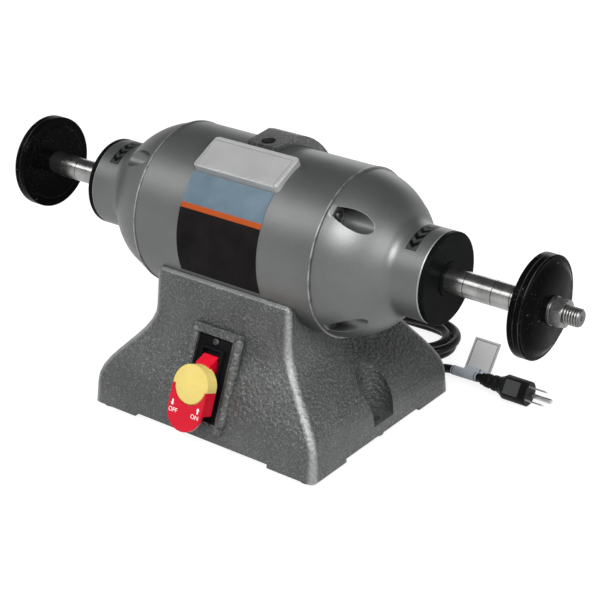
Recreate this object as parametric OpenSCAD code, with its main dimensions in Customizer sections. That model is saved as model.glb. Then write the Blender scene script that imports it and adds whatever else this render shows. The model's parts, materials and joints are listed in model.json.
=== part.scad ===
// Bench buffer: a double-ended motor on a flared cast base, with a clamped wheel flange on
// each arbor, a paddle switch with a pull-out key, and a power cord folded into a hank.
// X runs along the shaft, -Y is the switch side, Z is up, and the feet stand on Z = 0.

/* [Motor] */
// Height of the shaft above the bench
axis_h = 175; // [173:1:180]
// Outer diameter of the motor's band
band_d = 152; // [150:0.5:153]
// Length of the motor's band
band_len = 194.8; // [190:0.2:200]
// Wall of the motor's band
band_wall = 5; // [4:0.5:6]
// Height of the bead round each end of the band
bead_h = 0.6; // [0.3:0.1:1]
// Width of that bead
bead_w = 1.6; // [1:0.1:3]

/* [End bells] */
// How far inside the seam the dome's centre lies
dome_set = 12.4; // [10:0.2:14]
// Wall of the dome
dome_wall = 8; // [6:0.5:9]
// Radius of the fillet where the dome meets the collar
dome_fillet = 15; // [10:1:18]
// Diameter of the collar
collar_d = 81.4; // [78:0.2:84]
// Distance from the seam to the collar's end
bell_len = 84.2; // [82:0.2:90]
// Radius of the scooped pocket round each bell screw
scoop_r = 8.8; // [8:0.1:9.5]
// Distance of the bell screws from the shaft's axis
bell_screw_r = 66; // [65:0.5:67]
// Land between the seam and the pocket
scoop_land = 5; // [4:0.5:6]
// Thickness of the end cover
cover_t = 4.7; // [3:0.1:6]

/* [Shaft and bearings] */
// Shaft diameter under the bearings
journal_d = 25; // [25:0.5:26]
// Outer diameter of a bearing
bearing_d = 52; // [50:1:54]
// Width of a bearing
bearing_w = 15; // [13:0.5:16]
// Diameter of the shoulder and of the spacer sleeves
sleeve_d = 22.2; // [20:0.2:23]
// Diameter of the threaded arbor
arbor_d = 15.88; // [14:0.02:16.5]
// Distance from the middle to the arbor's tip
arbor_tip = 310.5; // [308:0.5:316]
// Distance from the middle to the shoulder
shoulder_x = 205.6; // [200:0.2:208]
// Length of the long spacer sleeve
long_sleeve = 26.7; // [20:0.1:28]
// Length of the short spacer sleeve
short_sleeve = 17.4; // [14:0.1:18]
// Length of the end sleeve that backs the flange
end_sleeve = 16.3; // [12:0.1:17]

/* [Wheel flanges] */
// Diameter of a wheel flange
flange_d = 88.9; // [76:0.1:102]
// Thickness of a flange at its rim
flange_t = 6.6; // [5:0.1:8]
// Diameter of the raised middle of the outer flange
plateau_d = 66; // [50:1:70]
// Height of that raised middle
plateau_h = 5.2; // [3:0.1:6]
// Thickness of the arbor washer
washer_t = 2.5; // [1.5:0.1:3]
// Diameter of the arbor washer
washer_d = 25; // [22:0.5:30]
// Width of the arbor nut across its flats
nut_af = 23; // [22:0.1:26]
// Thickness of the arbor nut
nut_t = 10.5; // [8:0.5:14]

/* [Base] */
// Half length of the base above its foot
foot_x = 125.2; // [120:0.2:130]
// Half depth of the base above its foot
foot_y = 105.5; // [102:0.5:110]
// Half length of the base at its neck
neck_x = 75.5; // [72:0.5:80]
// Half depth of the base at its neck
neck_y = 75.4; // [74:0.2:78]
// Height at which the flare starts
flare_lo = 23.5; // [20:0.5:28]
// How far below the shaft's axis the flare ends in the neck
flare_hi = 69.5; // [67:0.5:77]
// How far below the shaft's axis the saddle's top edge lies
saddle_top = 33.5; // [29:0.5:39]
// How far the neck leans in up to that edge
neck_draft = 3; // [1:0.2:3.4]
// Wall of the casting
base_wall = 7; // [6:0.5:8]
// Radius of the ridges at the corners
ridge_r = 5; // [4:0.5:8]
// Side of each corner pad
pad_side = 50; // [40:1:56]
// How far the pads reach below the edges between them
pad_drop = 3.5; // [2:0.5:5]
// Distance between the two bench-bolt holes
bench_spacing = 231; // [226:1:234]
// Diameter of a bench-bolt hole
bench_hole_d = 10; // [8:0.5:12]
// Radius of the pocket round each bench bolt
notch_r = 18; // [15:0.5:19]
// Height of the pocket's floor
notch_floor = 18.5; // [15:0.5:22]
// Thickness of the bottom plate
bottom_t = 1.5; // [1:0.1:2]

/* [Feet] */
// Height of a rubber foot
foot_h = 3.5; // [3:0.5:6]
// Diameter of a rubber foot
rubber_d = 20; // [16:1:24]
// Distance of a foot from the two edges beside it
foot_inset = 12.6; // [12:0.2:16]

/* [Switch] */
// Lean of the switch plate from upright
switch_tilt = 22; // [20:0.5:24]
// Width of the switch plate
plate_w = 38; // [34:0.5:42]
// Height of the switch plate
plate_h = 76; // [74:0.5:80]
// Thickness of the switch plate
plate_t = 2; // [1.5:0.1:2.5]
// Width of the bezel
bezel_w = 25; // [24:0.5:28]
// Height of the bezel
bezel_h = 58; // [56:0.5:60]
// How far the bezel stands out of the plate
bezel_t = 4; // [3.5:0.1:4.5]
// Width of the paddle
paddle_w = 38; // [34:0.5:40]
// How far the paddle's face stands out of the plate
paddle_rise = 24; // [22:0.5:26]
// Diameter of the safety key
key_d = 38; // [34:0.5:38]

/* [Plates] */
// Length of the raised plate on the band
badge_w = 92; // [80:1:100]
// Height of the raised plate
badge_h = 38; // [32:1:42]
// How far the raised plate stands out of the band
badge_rise = 6; // [4:0.5:8]
// Angle of the raised plate above the front of the band
badge_angle = 64; // [60:1:68]
// Length of the data label
label_w = 88; // [70:1:96]
// Angle of the data label's lower edge
label_low = -22; // [-22:1:10]
// Angle of the data label's upper edge
label_high = 49; // [40:1:49]

/* [Lug] */
// Width of the cast lug on the band
lug_w = 33; // [28:1:38]
// Height of the lug above the band
lug_h = 9.5; // [7:0.5:12]
// Diameter of the threaded hole in the lug
lug_hole_d = 12.7; // [10:0.1:14]
// Depth of that hole
lug_hole_depth = 8; // [6:0.5:9]

/* [Inside] */
// Length of the stator's and the rotor's laminations
stack_len = 90; // [80:1:96]
// Diameter of the rotor
rotor_d = 79.2; // [76:0.2:82]
// Air gap between the rotor and the stator
air_gap = 0.6; // [0.4:0.1:1]
// Number of stator slots
slots = 24; // [18:6:30]
// Diameter of the capacitor
capacitor_d = 36; // [30:1:42]
// Length of the capacitor
capacitor_len = 80; // [60:1:90]

/* [Cord] */
// Diameter of the power cord
cord_d = 8.5; // [7:0.1:8.5]
// Radius of the hank's outer fold, to the middle of the cord
fold_r = 40.8; // [40.8:0.1:48]
// Step from one strand of the hank to the next
strand_step = 10; // [10:0.1:10.2]

/* [Hidden] */
$fn = 64;

// Clearances between pieces
fit_gap = 0.1;
run_gap = 0.05;
loose_gap = 0.3;
skin_gap = 0.1;
through = 1;

// Motor
band_r = band_d / 2;
band_in = band_r - band_wall;
seam = band_len / 2;
dome_cx = seam - dome_set;
dome_in = band_r - dome_wall;
collar_r = collar_d / 2;
collar_end = seam + bell_len;
fillet_x = dome_cx + sqrt(pow(band_r + dome_fillet, 2) - pow(collar_r + dome_fillet, 2));
fillet_r = collar_r + dome_fillet;
fillet_turn = atan2(fillet_r, fillet_x - dome_cx);
seam_turn = acos(dome_set / band_r);
arc_steps = 12;
fillet_steps = 5;
cover_end = collar_end + cover_t;

// Bearings: a washer takes up the play behind each one
bearing_r = bearing_d / 2;
journal_r = journal_d / 2;
washer_play = 0.8;
bearing_lip = 4;
bearing_back = collar_end - bearing_lip - washer_play;
bearing_front = bearing_back - bearing_w;
cover_hole_r = 18;
cover_spigot = 3;
cover_bevel = 0.7;
seal_r = 15;
seal_t = 4;
seal_proud = 1;
ball_count = 9;
ball_r = 3.9;
ball_pitch_r = (bearing_r + journal_r) / 2;
race_t = 3.6;

// Shaft
sleeve_r = sleeve_d / 2;
arbor_r = arbor_d / 2;
web_r = journal_r + 2;
tip_chamfer = 1.4;
centre_hole_r = 2.2;
centre_hole_depth = 4;
long_end = shoulder_x + long_sleeve;
short_end = long_end + short_sleeve;
flange_x = short_end + end_sleeve;
flange_mid = flange_x + flange_t;
flange_out = flange_mid + flange_t;
flange_r = flange_d / 2;
plateau_r = plateau_d / 2;
plateau_x = flange_out + plateau_h;
nut_x = plateau_x + washer_t;
rim_bevel = 1;
cone_land = 2;
nut_turn = 6;

// Screws in the end bells
screw_head_r = 5;
screw_head_h = 3.2;
screw_r = 2.5;
screw_len = 20;
recess_w = 1.1;
recess_l = 5;
recess_depth = 1.4;
scoop_wall = 3.5;
bell_turn = 4.5;
scoop_face = seam + scoop_land;
scoop_reach = 50;
lug_boss_r = 9;

// Base
pad_z = foot_h;
edge_z = foot_h + pad_drop;
foot_draft_h = 22;
foot_draft_x = 0.8;
foot_draft_y = 2.5;
end_draft = 1;
rim_end = 5;
rim_side = 2;
saddle_wall = 7;
flare_end = axis_h - flare_hi;
saddle_edge = axis_h - saddle_top;
cavity_drop = 0.5;
cavity_low = 12;
cavity_corner = 3;
cavity_top = flare_end - cavity_drop;
ledge_w = 3;
ledge_z = edge_z + bottom_t + 0.5;
pad_block_h = 10.5;
notch_x = bench_spacing / 2;
notch_wall = 6;
bench_boss_wall = 3.5;
notch_h = 62;
boss_screw_x = 60;
boss_screw_y = foot_y - 11;
boss_screw_r = 7;
boss_screw_h = 20;
bottom_screw_len = 12;
foot_screw_len = 9;
foot_seat = 1;
ring_step = 8;
corner_steps = 4;

// Label and stickers
label_t = 0.2;
label_end = 41;
sticker_from = 22.2;
sticker_to = 12;
sticker_low = 48;
sticker_high = 104;
sticker_t = 0.15;

// Lug: its ends are angles from the front of the band
lug_front = -8.6;
lug_low = 3.8;
lug_end_angle = 150;
lug_offset = -3.5;
lug_arc_r = band_r + lug_h;
lug_top_angle = 105;

// Stator slots and coils, and the capacitor's clamp
slot_w = 6;
slot_in = 44;
slot_out = 58;
coil_gap = 0.15;
coil_in = 43;
coil_out = 60;
coil_len = 27;
coil_stand = 2;
clamp_t = 1.2;
clamp_w = 12;
clamp_tab = 10;
capacitor_y = 40;
capacitor_z = ledge_z + clamp_t + capacitor_d / 2;

// Motor bolts
bolt_x = 60;
bolt_r = 4;
bolt_af = 13;
bolt_head_h = 5.3;
bolt_boss_r = 8;
bolt_boss_h = 6;
web_z = axis_h - band_r - saddle_wall;

// Switch: measured down the plate from its top edge and out of its face
plate_out = 3.6;
plate_up = 72.5;
switch_y = -neck_y - plate_out;
switch_z = flare_lo + plate_up;
boss_rail = 6;
boss_taper = 4;
boss_proud = 2.6;
boss_flank = 4;
boss_top = 8;
boss_down = 84;
boss_depth = 12;
rail_r = 5;
rail_sunk = 2.8;
rail_top = 1;
rail_low = -72;
rail_x = plate_w / 2 + loose_gap + rail_r;
bezel_top = -9.5;
bezel_rim = 2.4;
switch_body_w = 21.6;
switch_body_h = 53;
switch_body_depth = 28;
switch_mid = bezel_top - bezel_h / 2;
screw_inset = 4.5;
switch_screw_head_r = 3.2;
switch_screw_head_h = 1.8;
switch_screw_r = 1.7;
switch_screw_len = 8;
pin_r = 1.5;
pin_y = -18.6;
pin_w = 2.3;
arm_w = 16;
arm_eye = 2.1;
eye_from = -90;
eye_to = 70;
arm_low = -62;
arm_back = 1.8;
arm_front = 12.5;
arm_rise_y = -24.5;
block_top = -46;
block_low = -67;
block_back = 10;
lip_t = 3;
lip_turn = 10;
key_y = -44;
key_seat = paddle_rise - 4;
key_gap = 0.2;
key_dome = 1;
key_low_r = 17.2;
tongue_w = 8;
tongue_h = 4;
tongue_deep = 5;
tongue_y = -38;

// Cord gland
gland_x = -68.5;
gland_z = 26;
gland_r = 8;
gland_flange_r = 11;
gland_flange_t = 3;
gland_pad_r = 13;
gland_pad_y = 106.5;
gland_pad_t = 9;
gland_inner_y = 93;
relief_end_y = 128;
relief_end_r = 5.6;

// Cord: the route's points are chosen by hand and the hank is worked out from its folds
cord_r = cord_d / 2;
strand_low = 0.4 * cord_d;
strand_high = strand_low + 9;
waist_lift = 1.6;
waist_reach = 40;
waist_pull = 17;
start_out = 0.6;
half_run = 68;
hank_turn = -17;
rings_a_loop = 24;
loops = 3;
lead_route = [
    [-68.5, 128, 26], [-68.5, 136.5, 26], [-65.1, 150.8, 24.4], [-55.6, 163.2, 20.6],
    [-43, 170.6, 16.4], [-30.1, 172.5, 14], [-22, 170, 14]
];
tail_route = [
    [35, 134, 3.4], [44, 131.2, 3.4], [54, 129, 3.4], [64, 128.4, 3.4], [74, 129.6, 3.6],
    [84, 132.2, 4.2], [94, 135.3, 5.3], [103, 137.6, 6.6], [113, 137.8, 8],
    [144, 132.1, 12.1], [149, 131.5, 12.5], [157.5, 131.5, 12.5]
];
hank_start = lead_route[len(lead_route) - 1];
hank_end = tail_route[0];
waist_half = fold_r - waist_pull + start_out;
hank_at = [hank_start[0] - waist_half * sin(hank_turn), hank_start[1] + waist_half * cos(hank_turn)];
tie_at = 3;
tie_w = 5;
tie_t = 0.5;
wrap_start = tail_route[8];
wrap_end = tail_route[9];
wrap_r = 4.75;
flag_w = 28;
flag_h = 35;
flag_t = 0.5;
flag_lean = 37;
flag_x = 125.5;
flag_y = 134.8;
flag_z = 12.4;

// Plug: two flat blades and a round ground pin
plug_at = tail_route[10];
plug_roll = 57;
neck_len = 21;
neck_r = 8.6;
neck_low_r = 6.6;
plug_len = 30;
plug_r = 12.4;
plug_flat_top = 9.8;
plug_flat_low = 11.2;
plug_half_w = 11.8;
blade_gap = 12.7;
blade_w = 6.3;
blade_t = 1.5;
blade_len = 17.5;
blade_offset = 4.4;
ground_offset = 7.5;
ground_r = 2.4;
ground_len = 20.6;

// Flare of the base: 1 at the foot and 0 at the neck
function flare(z) =
    z <= flare_lo ? 1 : z >= flare_end ? 0 : (1 + cos(180 * (z - flare_lo) / (flare_end - flare_lo))) / 2;
function foot_spread(z) = max(0, 1 - (z - pad_z) / foot_draft_h);
function neck_lean(z) = max(0, (z - flare_end) / (saddle_edge - flare_end));
function rim(z, r) = z > saddle_edge - r ? r - sqrt(max(0, r * r - pow(z - saddle_edge + r, 2))) : 0;
function half_x(z) =
    neck_x + (foot_x - neck_x) * flare(z) + foot_draft_x * foot_spread(z) - end_draft * neck_lean(z)
        - rim(z, rim_end);
function half_y(z) =
    neck_y + (foot_y - neck_y) * flare(z) + foot_draft_y * foot_spread(z) - neck_draft * neck_lean(z)
        - rim(z, rim_side);

// Points of a rectangle with round corners, anticlockwise
function rounded(hx, hy, r, steps) = [
    for (q = [0:3]) for (i = [0:steps])
        let (a = 90 * q + 90 * i / steps, sx = (q == 0 || q == 3) ? 1 : -1, sy = q < 2 ? 1 : -1)
        [sx * (hx - r) + r * cos(a), sy * (hy - r) + r * sin(a)]
];

// Points of an arc about a centre
function arc(cx, cy, r, from, to, steps) =
    [for (i = [0:steps]) let (a = from + (to - from) * i / steps) [cx + r * cos(a), cy + r * sin(a)]];

// Solid through a stack of rounded rectangles, one at each height
module stack(heights, inset, corner) {
    count = 4 * (corner_steps + 1);
    top = len(heights) - 1;
    points = [
        for (z = heights) for (p = rounded(half_x(z) - inset, half_y(z) - inset, corner, corner_steps))
            [p[0], p[1], z]
    ];
    walls = [
        for (k = [0:top - 1]) for (i = [0:count - 1])
            let (j = (i + 1) % count, a = k * count, b = a + count)
            each [[a + i, b + i, b + j], [a + i, b + j, a + j]]
    ];
    floor_face = [for (i = [0:count - 1]) i];
    roof_face = [for (i = [count - 1:-1:0]) top * count + i];
    polyhedron(points, concat([floor_face], walls, [roof_face]), 6);
}

// Vector helpers
function unit(v) = v / norm(v);
function along(path, i) =
    unit(path[min(i + 1, len(path) - 1)] - path[max(i - 1, 0)]);

// Round tube swept along a path; below the bench it is cut flat
function tube_ring(at, way, r, sides) =
    let (side = unit(cross(way, [0, 0, 1])), rise = cross(side, way))
    [for (k = [0:sides - 1])
        let (a = -90 + (k + 0.5) * 360 / sides, p = at + r * (cos(a) * side + sin(a) * rise))
        [p[0], p[1], max(0, p[2])]];

module tube(path, r, sides) {
    last = len(path) - 1;
    points = [for (i = [0:last]) each tube_ring(path[i], along(path, i), r, sides)];
    walls = [
        for (i = [0:last - 1]) for (k = [0:sides - 1])
            let (j = (k + 1) % sides, a = i * sides, b = a + sides)
            each [[a + k, a + j, b + j], [a + k, b + j, b + k]]
    ];
    start_cap = [for (k = [1:sides - 2]) [0, k + 1, k]];
    end_cap = [for (k = [1:sides - 2]) last * sides * [1, 1, 1] + [0, k, k + 1]];
    polyhedron(points, concat(start_cap, walls, end_cap), 6);
}

// Hank: three loops that spiral in on top, climb down along a run and spiral out below.
// One loop is 24 steps: half a run, a fold, a run, a fold and half a run.
function inward(t) = strand_step * (t <= 36 ? t : 72 - t) / rings_a_loop;
function level(t) =
    t <= 33 ? strand_high : t >= 39 ? strand_low
    : strand_low + (strand_high - strand_low) * (1 + cos(180 * (t - 33) / 6)) / 2;
function bump(x, reach) = abs(x) < reach ? (1 + cos(180 * x / reach)) / 2 : 0;
function turned_in(x, y, z) = [
    hank_at[0] + x * cos(hank_turn) - y * sin(hank_turn),
    hank_at[1] + x * sin(hank_turn) + y * cos(hank_turn),
    z
];
function run_point(x, side, t) = turned_in(
    x, side * (fold_r - inward(t) - waist_pull * bump(x, half_run)),
        level(t) + waist_lift * bump(x, waist_reach)
);
function fold_point(x, a, t) = turned_in(
    x + (fold_r - inward(t)) * cos(a), (fold_r - inward(t)) * sin(a), level(t)
);
function strand(t) =
    let (s = t % rings_a_loop)
    s <= 3 ? run_point(half_run * s / 3, -1, t)
    : s <= 9 ? fold_point(half_run, -90 + 30 * (s - 3), t)
    : s <= 15 ? run_point(half_run - half_run * (s - 9) / 3, 1, t)
    : s <= 21 ? fold_point(-half_run, 90 + 30 * (s - 15), t)
    : run_point(-half_run + half_run * (s - 21) / 3, -1, t);
start_way = [cos(hank_turn), sin(hank_turn), 0];
end_way = unit(tail_route[1] - tail_route[0]);
hank_route = concat(
    [hank_start, hank_start + cord_d * start_way],
    [for (t = [1:loops * rings_a_loop + 2]) strand(t)],
    [hank_end - cord_d * end_way, hank_end]
);

// Least gap of the hank to itself, measured on points a quarter of a ring apart
fine = 4;
fine_route = [
    for (i = [0:len(hank_route) - 2]) for (k = [0:fine - 1])
        hank_route[i] + (hank_route[i + 1] - hank_route[i]) * k / fine
];
apart = 4 * fine;
function least_gap() = min([
    for (i = [0:len(fine_route) - 1 - apart])
        min([for (j = [i + apart:len(fine_route) - 1]) norm(fine_route[i] - fine_route[j])])
]) - cord_d;
function path_len(path) =
    [for (i = [0:len(path) - 2]) norm(path[i + 1] - path[i])] * [for (i = [0:len(path) - 2]) 1];

// Places
module at_axis() translate([0, 0, axis_h]) rotate([0, 90, 0]) children();
module at_angle(a) translate([0, 0, axis_h]) rotate([90 - a, 0, 0]) children();
module at_switch() translate([0, switch_y, switch_z]) rotate([90 - switch_tilt, 0, 0]) children();
module at_plug() translate(plug_at) rotate([plug_roll, 0, 0]) rotate([0, 90, 0]) children();
module to_left() mirror([1, 0, 0]) children();
module bell_places() {
    for (q = [0:3]) rotate([0, 0, 45 - bell_turn + 90 * q]) translate([bell_screw_r, 0, 0]) children();
}
module both_ends() {
    children();
    to_left() children();
}
module four_corners(x, y) {
    for (sx = [-1, 1]) for (sy = [-1, 1]) translate([sx * x, sy * y, 0]) children();
}

// Solid of revolution from a list of [radius, place along the shaft] points
module turned(points) {
    at_axis() rotate_extrude($fn = 96) polygon(points);
}

// Ring round the shaft between two places
module ring(inner, outer, from, to) {
    turned([[inner, from], [outer, from], [outer, to], [inner, to]]);
}

// Cross-recessed pan head screw along Z, its head's seat at zero
module pan_screw(head_r, head_h, shank_r, shank_len) {
    difference() {
        union() {
            rotate_extrude($fn = 48) polygon([
                [0, 0], [head_r, 0], [head_r, 0.45 * head_h], [0.82 * head_r, 0.85 * head_h],
                [0.5 * head_r, head_h], [0, head_h]
            ]);
            translate([0, 0, -shank_len]) cylinder(h = shank_len, r = shank_r, $fn = 32);
        }
        for (a = [0, 90]) rotate([0, 0, a])
            translate([-recess_l * head_r / screw_head_r / 2, -recess_w / 2, head_h
                - recess_depth * head_h / screw_head_h])
            cube([recess_l * head_r / screw_head_r, recess_w, head_h]);
    }
}

// Base
module notch_pocket() {
    both_ends() translate([notch_x, 0, notch_floor]) cylinder(h = notch_h, r = notch_r);
}
module notch_block() {
    both_ends() translate([notch_x, 0, 0]) cylinder(h = notch_floor + notch_h, r = notch_r + notch_wall);
}
module pad_corner(top) {
    for (sx = [0, 1]) mirror([sx, 0, 0]) for (sy = [0, 1]) mirror([0, sy, 0])
        translate([half_x(pad_z) - pad_side, half_y(pad_z) - pad_side, -through])
        cube([2 * pad_side, 2 * pad_side, top + through]);
}
module boss_slice(y, rail) {
    at_switch() translate([0, y, 0]) rotate([90, 0, 0]) linear_extrude(0.5) polygon([
        [-plate_w / 2 - rail - boss_flank, -boss_depth], [plate_w / 2 + rail + boss_flank, -boss_depth],
        [plate_w / 2 + rail + boss_flank, -boss_flank], [plate_w / 2 + rail, boss_proud],
        [-plate_w / 2 - rail, boss_proud], [-plate_w / 2 - rail - boss_flank, -boss_flank]
    ]);
}
module switch_boss() {
    hull() {
        boss_slice(boss_top, boss_rail);
        boss_slice(0.5 - boss_down, boss_rail - boss_taper);
    }
}
module switch_rails() {
    rail_len = rail_top - rail_low;
    at_switch() for (sx = [-1, 1]) translate([sx * rail_x, rail_low, boss_proud - rail_sunk]) rotate([-90, 0, 0]) {
        cylinder(h = rail_len, r = rail_r, $fn = 32);
        sphere(r = rail_r, $fn = 32);
        translate([0, 0, rail_len]) sphere(r = rail_r, $fn = 32);
    }
}
module switch_recess() {
    recess = plate_w + 2 * loose_gap;
    at_switch() translate([-recess / 2, -boss_down - boss_top, -plate_t])
        cube([recess, boss_down + boss_top + loose_gap, boss_depth]);
    at_switch() translate([-bezel_w / 2, bezel_top - bezel_h, -switch_body_depth])
        cube([bezel_w, bezel_h, switch_body_depth + boss_depth]);
}
module cavity() {
    inner = [pad_z - through, for (z = [cavity_low:ring_step:cavity_top - 4]) z, cavity_top];
    difference() {
        union() {
            stack([pad_z - through, ledge_z], base_wall - ledge_w, ridge_r - base_wall + ledge_w);
            stack(inner, base_wall, cavity_corner);
        }
        pad_corner(pad_z + pad_block_h);
        notch_block();
        four_corners(boss_screw_x, boss_screw_y) translate([0, 0, ledge_z])
            cylinder(h = boss_screw_h, r = boss_screw_r);
        at_axis() cylinder(h = 2 * band_len, r = band_r + saddle_wall, center = true);
    }
}
module edge_gaps() {
    x = half_x(pad_z) - pad_side;
    y = half_y(pad_z) - pad_side;
    difference() {
        union() {
            translate([-x, -2 * foot_y, 0]) cube([2 * x, 4 * foot_y, edge_z]);
            translate([-2 * foot_x, -y, 0]) cube([4 * foot_x, 2 * y, edge_z]);
        }
        both_ends() translate([notch_x, 0, 0])
            cylinder(h = notch_floor, d = bench_hole_d + 2 * bench_boss_wall);
    }
}
module base_casting() {
    outer = [pad_z, pad_z + foot_draft_h / 2, for (z = [flare_lo:(flare_end - flare_lo) / 10:flare_end]) z,
        saddle_edge - rim_end, saddle_edge - 0.5 * rim_end, saddle_edge - 0.15 * rim_end, saddle_edge];
    color("dimgray") difference() {
        union() {
            stack(outer, 0, ridge_r);
            switch_boss();
            switch_rails();
            translate([gland_x, gland_pad_y, gland_z]) rotate([90, 0, 0])
                cylinder(h = gland_pad_t, r = gland_pad_r);
        }
        cavity();
        edge_gaps();
        at_axis() cylinder(h = 2 * band_len, r = band_r + fit_gap, center = true, $fn = 128);
        notch_pocket();
        both_ends() translate([notch_x, 0, -through])
            cylinder(h = notch_floor + 2 * through, d = bench_hole_d);
        switch_recess();
        at_switch() for (y = [-screw_inset, screw_inset - plate_h])
            translate([0, y, -switch_screw_len - plate_t])
                cylinder(h = switch_screw_len, r = switch_screw_r + run_gap, $fn = 24);
        translate([gland_x, gland_pad_y + through, gland_z]) rotate([90, 0, 0])
            cylinder(h = 20, r = gland_r + fit_gap);
        four_corners(boss_screw_x, boss_screw_y)
            cylinder(h = ledge_z + bottom_screw_len, r = switch_screw_r + run_gap, $fn = 24);
        four_corners(foot_x + foot_draft_x - foot_inset, foot_y + foot_draft_y - foot_inset)
            cylinder(h = pad_z + pad_block_h - 2, r = switch_screw_r + run_gap, $fn = 24);
        both_ends() translate([bolt_x, 0, web_z - 5]) cylinder(h = 20, r = bolt_r + fit_gap, $fn = 32);
    }
}
module bottom_plate() {
    x = half_x(edge_z) - base_wall + ledge_w - loose_gap;
    y = half_y(edge_z) - base_wall + ledge_w - loose_gap;
    px = half_x(pad_z) - pad_side - loose_gap;
    py = half_y(pad_z) - pad_side - loose_gap;
    color("silver") difference() {
        union() {
            translate([-x + through, -py, ledge_z - bottom_t])
                cube([2 * x - 2 * through, 2 * py, bottom_t]);
            translate([-px, -y + through, ledge_z - bottom_t])
                cube([2 * px, 2 * y - 2 * through, bottom_t]);
        }
        both_ends() translate([notch_x, 0, 0])
            cylinder(h = 2 * ledge_z, r = notch_r + notch_wall + loose_gap);
        four_corners(boss_screw_x, boss_screw_y)
            cylinder(h = 2 * ledge_z, r = switch_screw_r + fit_gap, $fn = 24);
    }
}
module bottom_screws() {
    color("silver") four_corners(boss_screw_x, boss_screw_y) translate([0, 0, ledge_z - bottom_t])
        mirror([0, 0, 1])
        pan_screw(switch_screw_head_r, switch_screw_head_h, switch_screw_r, bottom_screw_len);
}
module rubber_feet() {
    color("black") four_corners(foot_x + foot_draft_x - foot_inset, foot_y + foot_draft_y - foot_inset)
        difference() {
        cylinder(h = foot_h, d1 = rubber_d - 1.5, d2 = rubber_d);
        translate([0, 0, -through])
            cylinder(h = foot_h + 2 * through, r = switch_screw_r + fit_gap, $fn = 24);
        translate([0, 0, -through])
            cylinder(h = foot_h - foot_seat + through, r = switch_screw_head_r + loose_gap, $fn = 32);
    }
}
module foot_screws() {
    color("silver") four_corners(foot_x + foot_draft_x - foot_inset, foot_y + foot_draft_y - foot_inset)
        translate([0, 0, foot_h - foot_seat]) mirror([0, 0, 1])
        pan_screw(switch_screw_head_r, switch_screw_head_h, switch_screw_r, foot_screw_len);
}
module motor_bolts() {
    color("silver") both_ends() translate([bolt_x, 0, web_z]) {
        translate([0, 0, -bolt_head_h]) cylinder(h = bolt_head_h, d = bolt_af / cos(30), $fn = 6);
        cylinder(h = saddle_wall + band_wall + bolt_boss_h, r = bolt_r, $fn = 32);
    }
}

// Motor band with its cast lug
module lug_shape() {
    front = [[lug_front, band_r - 2], [lug_front, band_r + lug_low]];
    outer = arc(0, 0, lug_arc_r, 180 - lug_top_angle, 180 - lug_end_angle, 8);
    inner = arc(0, 0, band_r - 2, 180 - lug_end_angle, 90, 8);
    polygon(concat(front, outer, inner));
}
module motor_band() {
    color("darkgray") difference() {
        union() {
            ring(band_in, band_r, -seam, seam);
            both_ends() ring(band_in, band_r + bead_h, seam - bead_w, seam);
            translate([lug_offset - lug_w / 2, 0, axis_h]) rotate([90, 0, 90])
                linear_extrude(lug_w) lug_shape();
            both_ends() intersection() {
                at_axis() bell_places() translate([0, 0, seam - screw_len])
                    cylinder(h = screw_len, r = lug_boss_r);
                ring(0, band_in + 1, seam - screw_len, seam);
            }
            both_ends() translate([bolt_x, 0, axis_h - band_in - 2])
                cylinder(h = bolt_boss_h + 2, r = bolt_boss_r);
        }
        both_ends() at_axis() bell_places() translate([0, 0, seam - screw_len - through])
            cylinder(h = screw_len + 2 * through, r = screw_r + run_gap, $fn = 32);
        both_ends() translate([bolt_x, 0, axis_h - band_r - 3])
            cylinder(h = 20, r = bolt_r + fit_gap, $fn = 32);
        translate([lug_offset, 0, axis_h + band_r + lug_low - lug_hole_depth + 1])
            cylinder(h = 20, d = lug_hole_d);
    }
}
module raised_plate() {
    color("lightgray") at_angle(badge_angle) translate([-1, 0, 0]) difference() {
        union() {
            translate([0, 0, band_r - 6]) linear_extrude(badge_rise + 4.5)
                polygon(rounded(badge_w / 2, badge_h / 2, 4, 4));
            translate([0, 0, band_r]) linear_extrude(badge_rise)
                polygon(rounded(badge_w / 2 - 1.6, badge_h / 2 - 1.6, 3, 4));
        }
        rotate([0, 90, 0]) cylinder(h = 2 * badge_w, r = band_r + run_gap, center = true, $fn = 128);
    }
}
module curved_skin(radius, thick, from, to, low, high) {
    at_axis() rotate([0, 0, -90 - high]) rotate_extrude(angle = high - low, $fn = 128)
        polygon([[radius, from], [radius + thick, from], [radius + thick, to], [radius, to]]);
}
module data_label() {
    color("slategray") curved_skin(band_r + skin_gap, label_t, label_end - label_w, label_end,
        label_low, label_high);
}

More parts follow.
